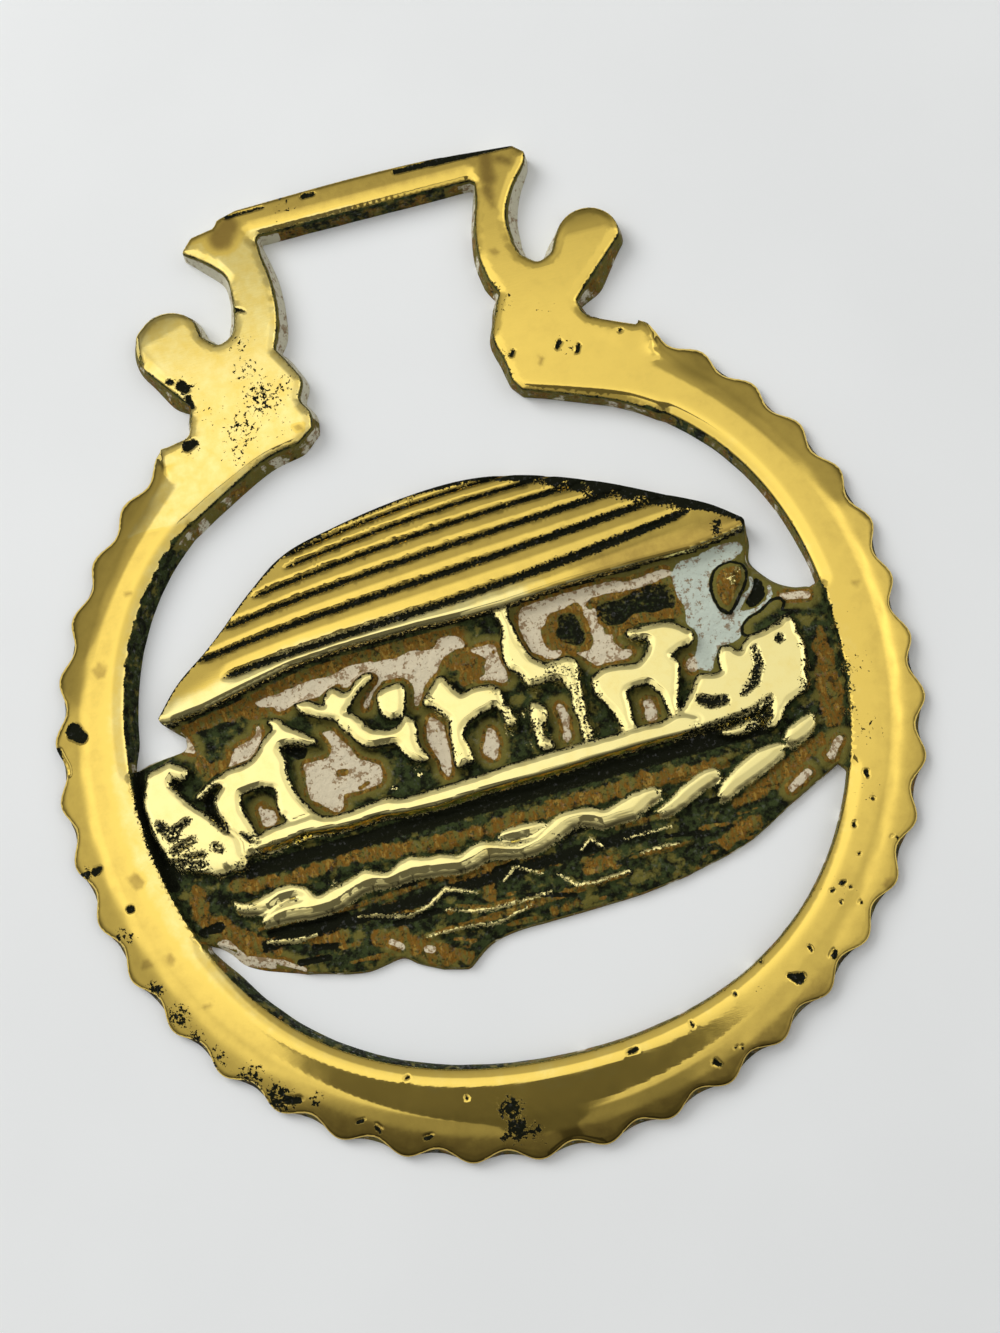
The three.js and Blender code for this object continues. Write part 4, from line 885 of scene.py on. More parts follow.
def lattice(loops, step, wanted=None):
    """Points of an even triangular lattice inside the loops, or only where wanted says so."""
    edges = np.vstack([np.hstack([loop[:, :2], np.roll(loop[:, :2], -1, axis=0)]) for loop in loops])
    low, high = edges[:, :2].min(axis=0), edges[:, :2].max(axis=0)
    rows = []
    for number, y in enumerate(np.arange(low[1] + step, high[1], step * math.sqrt(3) / 2)):
        crossing = edges[(edges[:, 1] > y) != (edges[:, 3] > y)]
        part = (y - crossing[:, 1]) / (crossing[:, 3] - crossing[:, 1])
        cuts = np.sort(crossing[:, 0] + part * (crossing[:, 2] - crossing[:, 0]))
        x = np.arange(low[0] + (number % 2) * step / 2, high[0], step)
        x = x[np.searchsorted(cuts, x) % 2 == 1]
        rows.append(np.stack([x, np.full(x.shape, y)], axis=1))
    points = np.vstack(rows)
    return points if wanted is None else points[wanted(points[:, 0], points[:, 1])]


def within(loops, points):
    """Whether points lie on the metal between closed loops."""
    odd = np.zeros(len(points), bool)
    for loop in loops:
        ends = np.roll(loop, -1, axis=0)
        for (ax, ay), (bx, by) in zip(loop[:, :2], ends[:, :2]):
            if ay != by:
                cut = ax + (points[:, 1] - ay) / (by - ay) * (bx - ax)
                odd ^= ((ay > points[:, 1]) != (by > points[:, 1])) & (points[:, 0] < cut)
    return odd


def distance_tree(loops):
    points = np.vstack([even_run(loop, 0.12)[:, :2] for loop in loops])
    tree = kdtree.KDTree(len(points))
    for number, (x, y) in enumerate(points):
        tree.insert((x, y, 0), number)
    tree.balance()
    return tree


def edge_distance(tree, points):
    return np.array([tree.find((x, y, 0))[2] for x, y in points])


def fine_relief(x, y):
    """Where the relief needs close points: the plate, but not the tops of the planks."""
    radius, turn = np.hypot(x, y), np.arctan2(y, x)
    on_plate = (radius < inner_radius(turn) + 0.25) & (y < PLATE_TOP)
    row = plank_row(x, y)
    on_plank = (y > height_on(EAVE, x) + 0.7) & (np.abs(row - np.round(row)) > 0.24) & (y < 20)
    return on_plate & ~on_plank | (stroke_depth(x, y, PITS) > -0.4)


def triangulate(loops, points):
    """Triangles between closed loops and points, and where each loop's points went."""
    corners = [Vector(point[:2]) for loop in loops for point in loop]
    edges = []
    start = 0
    for loop in loops:
        count = len(loop)
        edges += [(start + i, start + (i + 1) % count) for i in range(count)]
        start += count
    corners += [Vector(point) for point in points]
    inside_only = 1
    places, _, faces, origins, _, _ = geometry.delaunay_2d_cdt(corners, edges, [], inside_only, 1e-6)
    places, faces = np.array([tuple(place) for place in places]), np.array(faces)
    where = {old: new for new, olds in enumerate(origins) for old in olds}
    rings = np.split(np.array([where[number] for number in range(start)]),
                     np.cumsum([len(loop) for loop in loops])[:-1])
    # Triangles that span an opening have all their corners on the loops.
    spanning = np.isin(faces, np.concatenate(rings)).all(axis=1)
    centres = places[faces[spanning]].mean(axis=1)
    keep = np.ones(len(faces), bool)
    keep[spanning] = within(loops, centres)
    return places, faces[keep], rings


EDGE_STEP = 0.3
EDGE_ROW = 0.11
BACK_STEP = 1.3


def casting_mesh(sizes):
    """The whole casting as one closed mesh, before its scallops and planks are cut."""
    outlines = (outer_loop(sizes["tip_radius"]), upper_loop(), lower_loop())
    loops = [even_run(loop, EDGE_STEP) for loop in outlines]
    tree = distance_tree(loops)
    fine, plain = sizes["relief_step"], sizes["plain_step"]
    points = np.vstack([
        lattice(loops, fine, fine_relief),
        lattice(loops, plain, lambda x, y: ~fine_relief(x, y)),
    ])
    points = points[edge_distance(tree, points) > 0.2]
    rim = np.vstack([loop[:, :2] - EDGE_ROW * outward(loop) for loop in loops])
    rim = rim[edge_distance(tree, rim) > 0.09]
    places, faces, rings = triangulate(loops, np.vstack([points, rim]))
    front = Front(places[:, 0], places[:, 1], edge_distance(tree, places), sizes)
    spots = [np.column_stack([places, front.height])]
    areas = np.cross(places[faces[:, 1]] - places[faces[:, 0]], places[faces[:, 2]] - places[faces[:, 0]])
    faces[areas < 0] = faces[areas < 0][:, ::-1]
    polygons = faces.tolist()
    count = len(places)
    back_rings = []
    for ring, loop in zip(rings, loops):
        top = spots[0][ring]
        away = outward(loop)
        spread = wall_spread(loop)
        row = ring
        for part in (0.3, 0.7, 1):
            swell = 0.06 * math.sin(math.pi * part)
            reach = (spread * part + swell)[:, None]
            wall = np.column_stack([top[:, :2] + away * reach, top[:, 2] * (1 - part)])
            if part < 1:
                wall[:, :2] += away * 0.05 * rough_noise(wall[:, 0], wall[:, 1], 0.8, 33)[:, None]
            spots.append(wall)
            below = list(range(count, count + len(wall)))
            count += len(wall)
            for i, here in enumerate(row):
                following = (i + 1) % len(row)
                polygons.append((here, below[i], below[following], row[following]))
            row = below
        back_rings.append((below, wall))
    back_loops = [wall for _, wall in back_rings]
    inner = lattice(back_loops, BACK_STEP)
    inner = inner[edge_distance(distance_tree(back_loops), inner) > 0.5]
    back, back_faces, back_where = triangulate(back_loops, inner)
    numbers = np.full(len(back), -1)
    for (below, _), where in zip(back_rings, back_where):
        numbers[where] = below
    free = numbers < 0
    numbers[free] = np.arange(count, count + free.sum())
    hollow = 0.05 + 0.05 * rough_noise(back[free, 0], back[free, 1], 4, 41)
    spots.append(np.column_stack([back[free], np.clip(hollow, 0, None)]))
    corners = back[back_faces]
    areas = np.cross(corners[:, 1] - corners[:, 0], corners[:, 2] - corners[:, 0])
    back_faces[areas > 0] = back_faces[areas > 0][:, ::-1]
    polygons += numbers[back_faces].tolist()
    spots = np.vstack(spots)
    mesh = bpy.data.meshes.new("casting")
    mesh.from_pydata((spots * MM).tolist(), [], polygons)
    mesh.update()
    radius = np.hypot(spots[:, 0], spots[:, 1])
    tip = sizes["tip_radius"] - wear(np.arctan2(spots[:, 1], spots[:, 0]))
    share_out = np.clip((radius - sizes["ridge_radius"]) / (tip - sizes["ridge_radius"]), 0, 1)
    hanger = smoothstep(27, 33, spots[:, 1]) * smoothstep(24.5, 21.5, np.abs(spots[:, 0]))
    lower = smoothstep(0, 0.8, spots[:, 2])
    store(mesh, "rim", share_out * (1 - hanger) * (1 / 3 + 2 / 3 * lower))
    on_front = np.arange(len(spots)) < len(places)
    roof = np.zeros(len(spots))
    roof[on_front] = plank_mask(front)
    store(mesh, "roof", roof)
    store(mesh, "plank", plank_row(spots[:, 0], spots[:, 1]))
    return mesh, tree


def plank_mask(front):
    """Where grooves run: on the roof, ending short of its left and right points."""
    row = np.round(front.row)
    left = np.select([row == 0, row == 1, row == 2, row == 3], [-22.4, -24.5, -21.6, -18.4], -15)
    right = np.select([row == 0, row == 1, row == 2, row == 3], [22.6, 21.4, 18, 15], 12)
    ends = smoothstep(0, 1.5, front.x - left) * smoothstep(0, 1.5, right - front.x)
    on_roof = smoothstep(0.3, 0.7, front.y - front.eave) * front.on_plate
    return ends * on_roof * (row >= 0) * (row <= 5)


def store(mesh, name, values):
    layer = mesh.attributes.get(name) or mesh.attributes.new(name, "FLOAT", "POINT")
    layer.data.foreach_set("value", np.ascontiguousarray(values, dtype=np.float32))


# ---------------------------------------------------------------- node trees

class Nodes:
    """A node tree with short ways to add nodes, links and sums."""

    def __init__(self, group):
        self.group = group

    def add(self, kind, **settings):
        node = self.group.nodes.new(kind)
        for name, value in settings.items():
            setattr(node, name, value)
        return node

    def link(self, source, target):
        if isinstance(source, (int, float, tuple)):
            target.default_value = source
        else:
            self.group.links.new(source, target)

    def sum(self, operation, *values, clamp=False):
        node = self.add("ShaderNodeMath", operation=operation, use_clamp=clamp)
        for value, socket in zip(values, node.inputs):
            self.link(value, socket)
        return node.outputs[0]

    def plus(self, first, second, clamp=False):
        return self.sum("ADD", first, second, clamp=clamp)

    def minus(self, first, second):
        return self.sum("SUBTRACT", first, second)

    def times(self, first, second):
        return self.sum("MULTIPLY", first, second)

    def push(self, level, reach):
        """A level from 0 to 1 as a push of up to half the reach either way."""
        return self.times(self.minus(level, 0.5), reach)

    def attribute(self, name):
        return self.add("ShaderNodeAttribute", attribute_name=name).outputs["Fac"]

    def noise(self, vector, scale, detail=2.0, roughness=0.5, stretch=None):
        if stretch:
            mapping = self.add("ShaderNodeMapping")
            self.link(vector, mapping.inputs["Vector"])
            mapping.inputs["Scale"].default_value = stretch
            vector = mapping.outputs[0]
        node = self.add("ShaderNodeTexNoise")
        self.link(vector, node.inputs["Vector"])
        node.inputs["Scale"].default_value = scale
        node.inputs["Detail"].default_value = detail
        node.inputs["Roughness"].default_value = roughness
        return node.outputs[0]

    def step(self, value, low, high, to_low=0.0, to_high=1.0):
        node = self.add("ShaderNodeMapRange", interpolation_type="SMOOTHSTEP")
        for number, item in enumerate((value, low, high, to_low, to_high)):
            self.link(item, node.inputs[number])
        return node.outputs[0]

    def mix(self, factor, first, second):
        node = self.add("ShaderNodeMix", data_type="RGBA")
        self.link(factor, node.inputs[0])
        self.link(first, node.inputs[6])
        self.link(second, node.inputs[7])
        return node.outputs[2]


class Tree(Nodes):
    """A geometry node tree with named inputs, which ends in a plain mesh and its material."""

    def __init__(self, name, inputs):
        super().__init__(bpy.data.node_groups.new(name, "GeometryNodeTree"))
        face = self.group.interface
        face.new_socket("Geometry", in_out="INPUT", socket_type="NodeSocketGeometry")
        self.sockets = {}
        for label, default in inputs.items():
            socket = face.new_socket(label, in_out="INPUT", socket_type="NodeSocketFloat")
            socket.default_value = default
            self.sockets[label] = socket.identifier
        face.new_socket("Geometry", in_out="OUTPUT", socket_type="NodeSocketGeometry")
        self.given = self.add("NodeGroupInput").outputs

    def field(self, name):
        node = self.add("GeometryNodeInputNamedAttribute", data_type="FLOAT")
        node.inputs["Name"].default_value = name
        return node.outputs["Attribute"]

    def move(self, offset, material):
        """Moves the points, realizes instances, sets the material and ends the tree."""
        shift = self.add("GeometryNodeSetPosition")
        self.link(self.given["Geometry"], shift.inputs["Geometry"])
        self.link(offset, shift.inputs["Offset"])
        real = self.add("GeometryNodeRealizeInstances")
        self.link(shift.outputs["Geometry"], real.inputs["Geometry"])
        finish = self.add("GeometryNodeSetMaterial")
        finish.inputs["Material"].default_value = material
        self.link(real.outputs["Geometry"], finish.inputs["Geometry"])
        self.link(finish.outputs["Geometry"], self.add("NodeGroupOutput").inputs["Geometry"])


def scallop_tree(material):
    """Pulls the edge of the ring in between evenly spaced lobes."""
    tree = Tree("Scalloped Rim", {"First Lobe": 0.96, "Pitch": 0.147, "Depth": 0.0011, "Slope": 0.46})
    place = tree.add("GeometryNodeInputPosition")
    split = tree.add("ShaderNodeSeparateXYZ")
    tree.link(place.outputs[0], split.inputs[0])
    x, y, z = split.outputs
    turn = tree.sum("ARCTAN2", y, x)
    on_left = tree.sum("GREATER_THAN", turn, 1.8)
    turn = tree.minus(turn, tree.times(on_left, 2 * math.pi))
    steps = tree.sum("DIVIDE", tree.minus(tree.given["First Lobe"], turn), tree.given["Pitch"])
    drift = tree.plus(tree.times(tree.sum("COSINE", turn), 0.054),
                      tree.times(tree.sum("SINE", turn), -0.115))
    twice = tree.sum("SINE", tree.times(turn, 2))
    drift = tree.plus(drift, tree.times(twice, -0.069))
    wave = tree.sum("COSINE", tree.times(tree.plus(steps, drift), 2 * math.pi))
    notch = tree.times(tree.minus(1, wave), 0.5)
    notch = tree.times(notch, tree.given["Depth"])
    reach = tree.times(notch, tree.field("rim"))
    # A point that moves in along the sloping rim also rises with it.
    front = tree.sum("MINIMUM", tree.sum("DIVIDE", z, 0.0008), 1)
    inward = tree.add("ShaderNodeCombineXYZ")
    tree.link(tree.sum("COSINE", turn), inward.inputs[0])
    tree.link(tree.sum("SINE", turn), inward.inputs[1])
    tree.link(tree.times(tree.times(tree.given["Slope"], front), -1), inward.inputs[2])
    offset = tree.add("ShaderNodeVectorMath", operation="SCALE")
    tree.link(inward.outputs[0], offset.inputs[0])
    tree.link(tree.times(reach, -1), offset.inputs["Scale"])
    tree.move(offset.outputs[0], material)
    return tree


def plank_tree(material):
    """Cuts a ragged groove along every plank and rounds the planks between them."""
    tree = Tree("Roof Planks", {"Depth": 0.0005, "Half Width": 0.13, "Crown": 0.0001})
    row = tree.field("plank")
    ragged = tree.add("ShaderNodeTexNoise", noise_dimensions="3D")
    ragged.inputs["Scale"].default_value = 1100
    ragged.inputs["Detail"].default_value = 2
    jitter = tree.push(ragged.outputs[0], 0.16)
    near = tree.plus(tree.plus(row, 0.5), jitter)
    gap = tree.minus(tree.sum("FRACT", near), 0.5)
    share_of_width = tree.sum("DIVIDE", gap, tree.given["Half Width"])
    bell = tree.sum("EXPONENT", tree.times(tree.sum("POWER", tree.sum("ABSOLUTE", share_of_width), 2), -1))
    cut = tree.times(bell, tree.given["Depth"])
    smooth_gap = tree.minus(tree.sum("FRACT", tree.plus(row, 0.5)), 0.5)
    side = tree.minus(1, tree.times(tree.sum("ABSOLUTE", smooth_gap), 2))
    crown = tree.times(tree.sum("POWER", side, 2), tree.given["Crown"])
    down = tree.times(tree.plus(cut, crown), tree.field("roof"))
    offset = tree.add("ShaderNodeCombineXYZ")
    tree.link(tree.times(down, -1), offset.inputs[2])
    tree.move(offset.outputs[0], material)
    return tree


def apply_tree(piece, tree, values):
    """Runs a tree on a piece with these inputs and keeps the result as a plain mesh."""
    modifier = piece.modifiers.new(tree.group.name, "NODES")
    modifier.node_group = tree.group
    for label, value in values.items():
        modifier[tree.sockets[label]] = value
    graph = bpy.context.evaluated_depsgraph_get()
    result = bpy.data.meshes.new_from_object(piece.evaluated_get(graph))
    piece.modifiers.remove(modifier)
    piece.data = result


# ---------------------------------------------------------------- where each finish lies

def cloud_amount(x, y, clouds):
    """The strongest of the round clouds at each point."""
    total = np.zeros(x.shape)
    for cx, cy, reach, amount in clouds:
        total = np.maximum(total, amount * np.exp(-((x - cx) ** 2 + (y - cy) ** 2) / reach ** 2))
    return total


def paint(mesh, sizes, tree):
    """Stores on every point how much of each finish it has, painted shadow and painted sheen among them."""
    spots = np.empty(len(mesh.vertices) * 3)
    mesh.vertices.foreach_get("co", spots)
    x, y, z = (spots.reshape(-1, 3) / MM).T
    to_edge = edge_distance(tree, np.column_stack([x, y]))
    front = Front(x, y, to_edge, sizes)
    ragged = rough_noise(x, y, 0.8, 51)
    on_roof = np.minimum(y - front.eave + 0.2, front.over_roof + 0.22)
    margin = np.interp(x, [-28, 0, 5, 10, 14, 20, 26], [0.12, 0.15, 0.3, 0.8, 1.5, 1.3, 0.6])
    upper = front.roof_edge - y - margin
    row_gap = np.abs(front.row - np.round(front.row)) * 2.2
    groove = row_gap - 0.27 * plank_mask(front) - 0.12 * smoothstep(4, 14, x)
    groove = np.where(plank_mask(front) > 0.05, groove, 1)
    roof = np.minimum.reduce([on_roof, upper, groove])
    relief = np.maximum.reduce([front.animals, front.volute, front.rail, front.bow, front.crests,
                                np.minimum(front.flanks, front.crests + 0.55),
                                front.ripples - 0.02, np.where(front.on_plate, roof, -9)])
    speckled = cloud_amount(x, y, SPECKLES)
    inner_rag = (0.1 + 0.3 * smoothstep(-6, -30, x) * smoothstep(2, 14, y)
                 + 0.35 * smoothstep(26, 31, x) * smoothstep(6, 1, y) * smoothstep(-10, -6, y))
    ring = np.minimum(front.inside + 0.05, to_edge + 0.3)
    ring = ring - inner_rag * (0.35 + ragged) * (np.abs(front.inside) < 3)
    hanger = to_edge - 0.02 + 0.1 * ragged
    body = np.where(y > HANGER_FOOT, hanger, ring)
    body = np.where((np.hypot(x, y) > 36) & (y < 30), 0.6 + 0.2 * ragged, body)
    metal = np.where(front.on_plate, relief, body)
    metal = np.minimum(metal, -front.pits)
    metal = np.where(front.on_plate | (front.grime > -0.3), np.minimum(metal, -front.grime), metal)
    metal = np.maximum(metal, -0.8)
    metal = metal + np.minimum(1, 1.4 * speckled) * (np.clip(metal, -0.12, 0.11) - metal)
    down = front.height - z
    wall = smoothstep(0.12, 0.3, down) * (np.where(front.on_plate & (to_edge > 0.3), 0, 1))
    metal = metal - 1.6 * wall
    cream = area_depth(x, y, CREAM) + 0.06 * ragged
    cream = np.maximum(cream, stroke_depth(x, y, CHALKY_WALLS) + 0.06 * ragged)
    chalk = area_depth(x, y, CHALK) + 0.06 * ragged
    walls = wall > 0.5
    wall_cream_and_shade = 0.5 * rough_noise(x, y, 2.2, 61) - 0.12
    wall_cream_and_shade += 0.9 * smoothstep(4, 0, np.abs(np.abs(x) - 15)) * smoothstep(39, 41, y)
    # Painted shadow: the wall under the bar gets no dried polish, so it stays black like the shade under the
    # bar.
    wall_cream_and_shade += 0.7 * (x < -7) * (x > -11.5) * (y > 31) - 1.2 * (y > 48) * (np.abs(x) < 8)
    wall_cream_and_shade -= 0.8 * (np.hypot(x, y) > 36.5) * (y < 26)
    residue = np.where(walls, wall_cream_and_shade, np.maximum(cream, chalk))
    residue = np.minimum(residue, -stroke_depth(x, y, BARE))
    outline = np.maximum.reduce([front.animals, front.volute, front.rail, front.bow,
                                 -0.05 - np.abs(front.knob), -0.05 - np.abs(front.fender),
                                 np.where(front.on_plate & (on_roof > -3), on_roof - 0.05, -3)])
    beside = smoothstep(0.4, -0.1, roof) * (1 - 0.5 * smoothstep(0.1, -0.3, upper))
    soot = np.maximum.reduce([
        smoothstep(-0.3, -0.08, outline),
        smoothstep(1.1, 0.3, np.abs(y + 8 - 0.03 * x)) * (x > -24) * (x < 24),
        smoothstep(1, 0.2, np.abs(y + 14.3 - 0.05 * x)) * (x > -24) * (x < 12) * 0.8,
        smoothstep(-0.1, 0.1, front.pocket),
        smoothstep(-0.2, 0.1, front.windows) * 0.6,
        beside * (on_roof > -0.2) * front.on_plate,
        smoothstep(-0.1, 0.1, front.pits),
        smoothstep(-0.25, 0.05, front.cracks),
        smoothstep(-0.3, 0, front.grime),
    ])
    wall_soot = 0.18 + 0.6 * rough_noise(x, y, 1.1, 71) - np.clip(2 * wall_cream_and_shade + 0.3, 0, 1)
    soot = np.where(walls, wall_soot, soot)
    amber_and_shadow = smoothstep(-0.45, 0.35, stroke_depth(x, y, AMBER) + 0.6 * rough_noise(x, 0.6 * y, 1.1, 53))
    amber_and_shadow = np.maximum.reduce([amber_and_shadow, smoothstep(0.2, 0.7, front.knob),
                               0.65 * smoothstep(-0.1, 0.1, front.ridges)])
    under_eave = front.eave - y
    # Painted shadow: an amber band just under the eave on its left half, where the eave shades the ground.
    eave_shadow_band = smoothstep(0.5, 0.8, under_eave) * smoothstep(1.9, 1.4, under_eave) * smoothstep(1, -1, x)
    amber_and_shadow = np.maximum(amber_and_shadow, eave_shadow_band * (x > -27))
    rim_brown = smoothstep(-0.55, -0.2, np.where(chalk > cream, -1, cream))
    amber_and_shadow = np.maximum(amber_and_shadow * smoothstep(-0.25, -0.6, outline), rim_brown)
    sea_streaks = rough_noise(0.3 * x, y, 0.8, 81) + 0.3 * rough_noise(x, y, 2.5, 82)
    amber_and_shadow = np.maximum(amber_and_shadow, smoothstep(0.15, 0.6, sea_streaks) * smoothstep(-13, -14, y))
    amber_and_shadow = np.maximum(amber_and_shadow, smoothstep(-1.2, -0.8, front.windows) * smoothstep(0.1, -0.2, front.windows))
    amber_and_shadow = np.where(walls, 0.5 + 0.5 * rough_noise(x, y, 1.4, 72), amber_and_shadow)
    # Painted highlight: the raised forms on the plate get almost no tarnish, so they take the paler polished
    # colour for the bright light on them, besides their real polish.
    base = np.where(front.on_plate & (front.over_roof < 0), 0.04, 0.33)
    # Painted sheen on the roof: the lower planks get less tarnish, so paler brass, on the left and more, so
    # darker brass, on the right, for how they catch the light.
    low = smoothstep(2.6, 0.9, y - front.eave)
    plank_tarnish_and_sheen = 0.46 - 0.38 * low * smoothstep(12, 3, x) + 0.3 * low * smoothstep(9, 14, x)
    base = np.where(front.on_plate & (front.over_roof > 0), plank_tarnish_and_sheen, base)
    base = np.where(y > HANGER_FOOT, 0.2 + 0.2 * smoothstep(-4, 8, x), base)
    # Painted sheen on the ring: its left side gets less tarnish, so paler brass, for the light that falls
    # there; outwards it gets more tarnish.
    out = smoothstep(33.2, 35.2, np.hypot(x, y))
    left = smoothstep(0.5, 0.95, -np.cos(np.arctan2(y, x) + 0.1))
    base = np.where(front.on_plate | (y > HANGER_FOOT), base, base - 0.12 * left * (1 - out) + 0.16 * out)
    radius = np.hypot(x, y)
    # Real tarnish and stains, together with the painted sheen above.
    tarnish_and_sheen = np.maximum.reduce([
        base,
        smoothstep(-1, 1.2, stroke_depth(x, y, TARNISH)),
        0.75 * smoothstep(-0.2, 0.15, stroke_depth(x, y, STAINS)),
        0.5 * smoothstep(36, 38, radius) * (y < 30),
        0.62 * smoothstep(43, 50, y) * smoothstep(50.2, 51, y),
        0.75 * smoothstep(36.4, 37.2, radius) * smoothstep(-22, -32, y),
    ])
    store(mesh, "metal", np.clip(metal, -1.5, 1.5))
    store(mesh, "residue", np.clip(residue, -1.5, 1.5))
    store(mesh, "chalk", smoothstep(-0.2, 0.2, chalk - cream) * (~walls) + 0.4 * walls)
    store(mesh, "soot", soot)
    store(mesh, "amber_and_shadow", amber_and_shadow)
    store(mesh, "ragged", 0.45 + 0.45 * front.on_plate + 2 * speckled
          + 1.4 * smoothstep(-0.5, -0.2, front.grime))
    store(mesh, "tarnish_and_sheen", tarnish_and_sheen)
    store(mesh, "pits", cloud_amount(x, y, PIT_CLOUDS))


# ---------------------------------------------------------------- materials

def node_group(name, inputs, outputs):
    """An empty shader node group with named sockets: float, vector or colour."""
    group = bpy.data.node_groups.new(name, "ShaderNodeTree")
    for direction, sockets in (("INPUT", inputs), ("OUTPUT", outputs)):
        for label, kind in sockets.items():
            group.interface.new_socket(label, in_out=direction, socket_type="NodeSocket" + kind)
    nodes = Nodes(group)
    return nodes, nodes.add("NodeGroupInput").outputs, nodes.add("NodeGroupOutput").inputs


def ragged_edge_group():
    """Turns a distance in millimetres into a mask with a ragged edge."""
    nodes, given, result = node_group(
        "Ragged Edge", {"Vector": "Vector", "Distance": "Float", "Raggedness": "Float", "Grain": "Float"},
        {"Mask": "Float"})
    grain = nodes.add("ShaderNodeTexNoise")
    nodes.link(given["Vector"], grain.inputs["Vector"])
    nodes.link(given["Grain"], grain.inputs["Scale"])
    grain.inputs["Detail"].default_value = 3
    grain.inputs["Roughness"].default_value = 0.65
    push = nodes.push(grain.outputs[0], given["Raggedness"])
    nodes.link(nodes.step(nodes.plus(given["Distance"], push), -0.04, 0.04), result["Mask"])
    return nodes.group


def pitting_group():
    """Small sharp pits, as thick on the ground as the amount says."""
    nodes, given, result = node_group(
        "Casting Pits", {"Vector": "Vector", "Amount": "Float"}, {"Mask": "Float"})
    coarse = nodes.noise(given["Vector"], 2300, 3, 0.7)
    limit = nodes.minus(0.8, nodes.times(given["Amount"], 0.42))
    nodes.link(nodes.step(nodes.minus(coarse, limit), 0, 0.02), result["Mask"])
    return nodes.group


def use_group(nodes, group, **values):
    node = nodes.add("ShaderNodeGroup", node_tree=group)
    for label, value in values.items():
        nodes.link(value, node.inputs[label])
    return node.outputs[0]


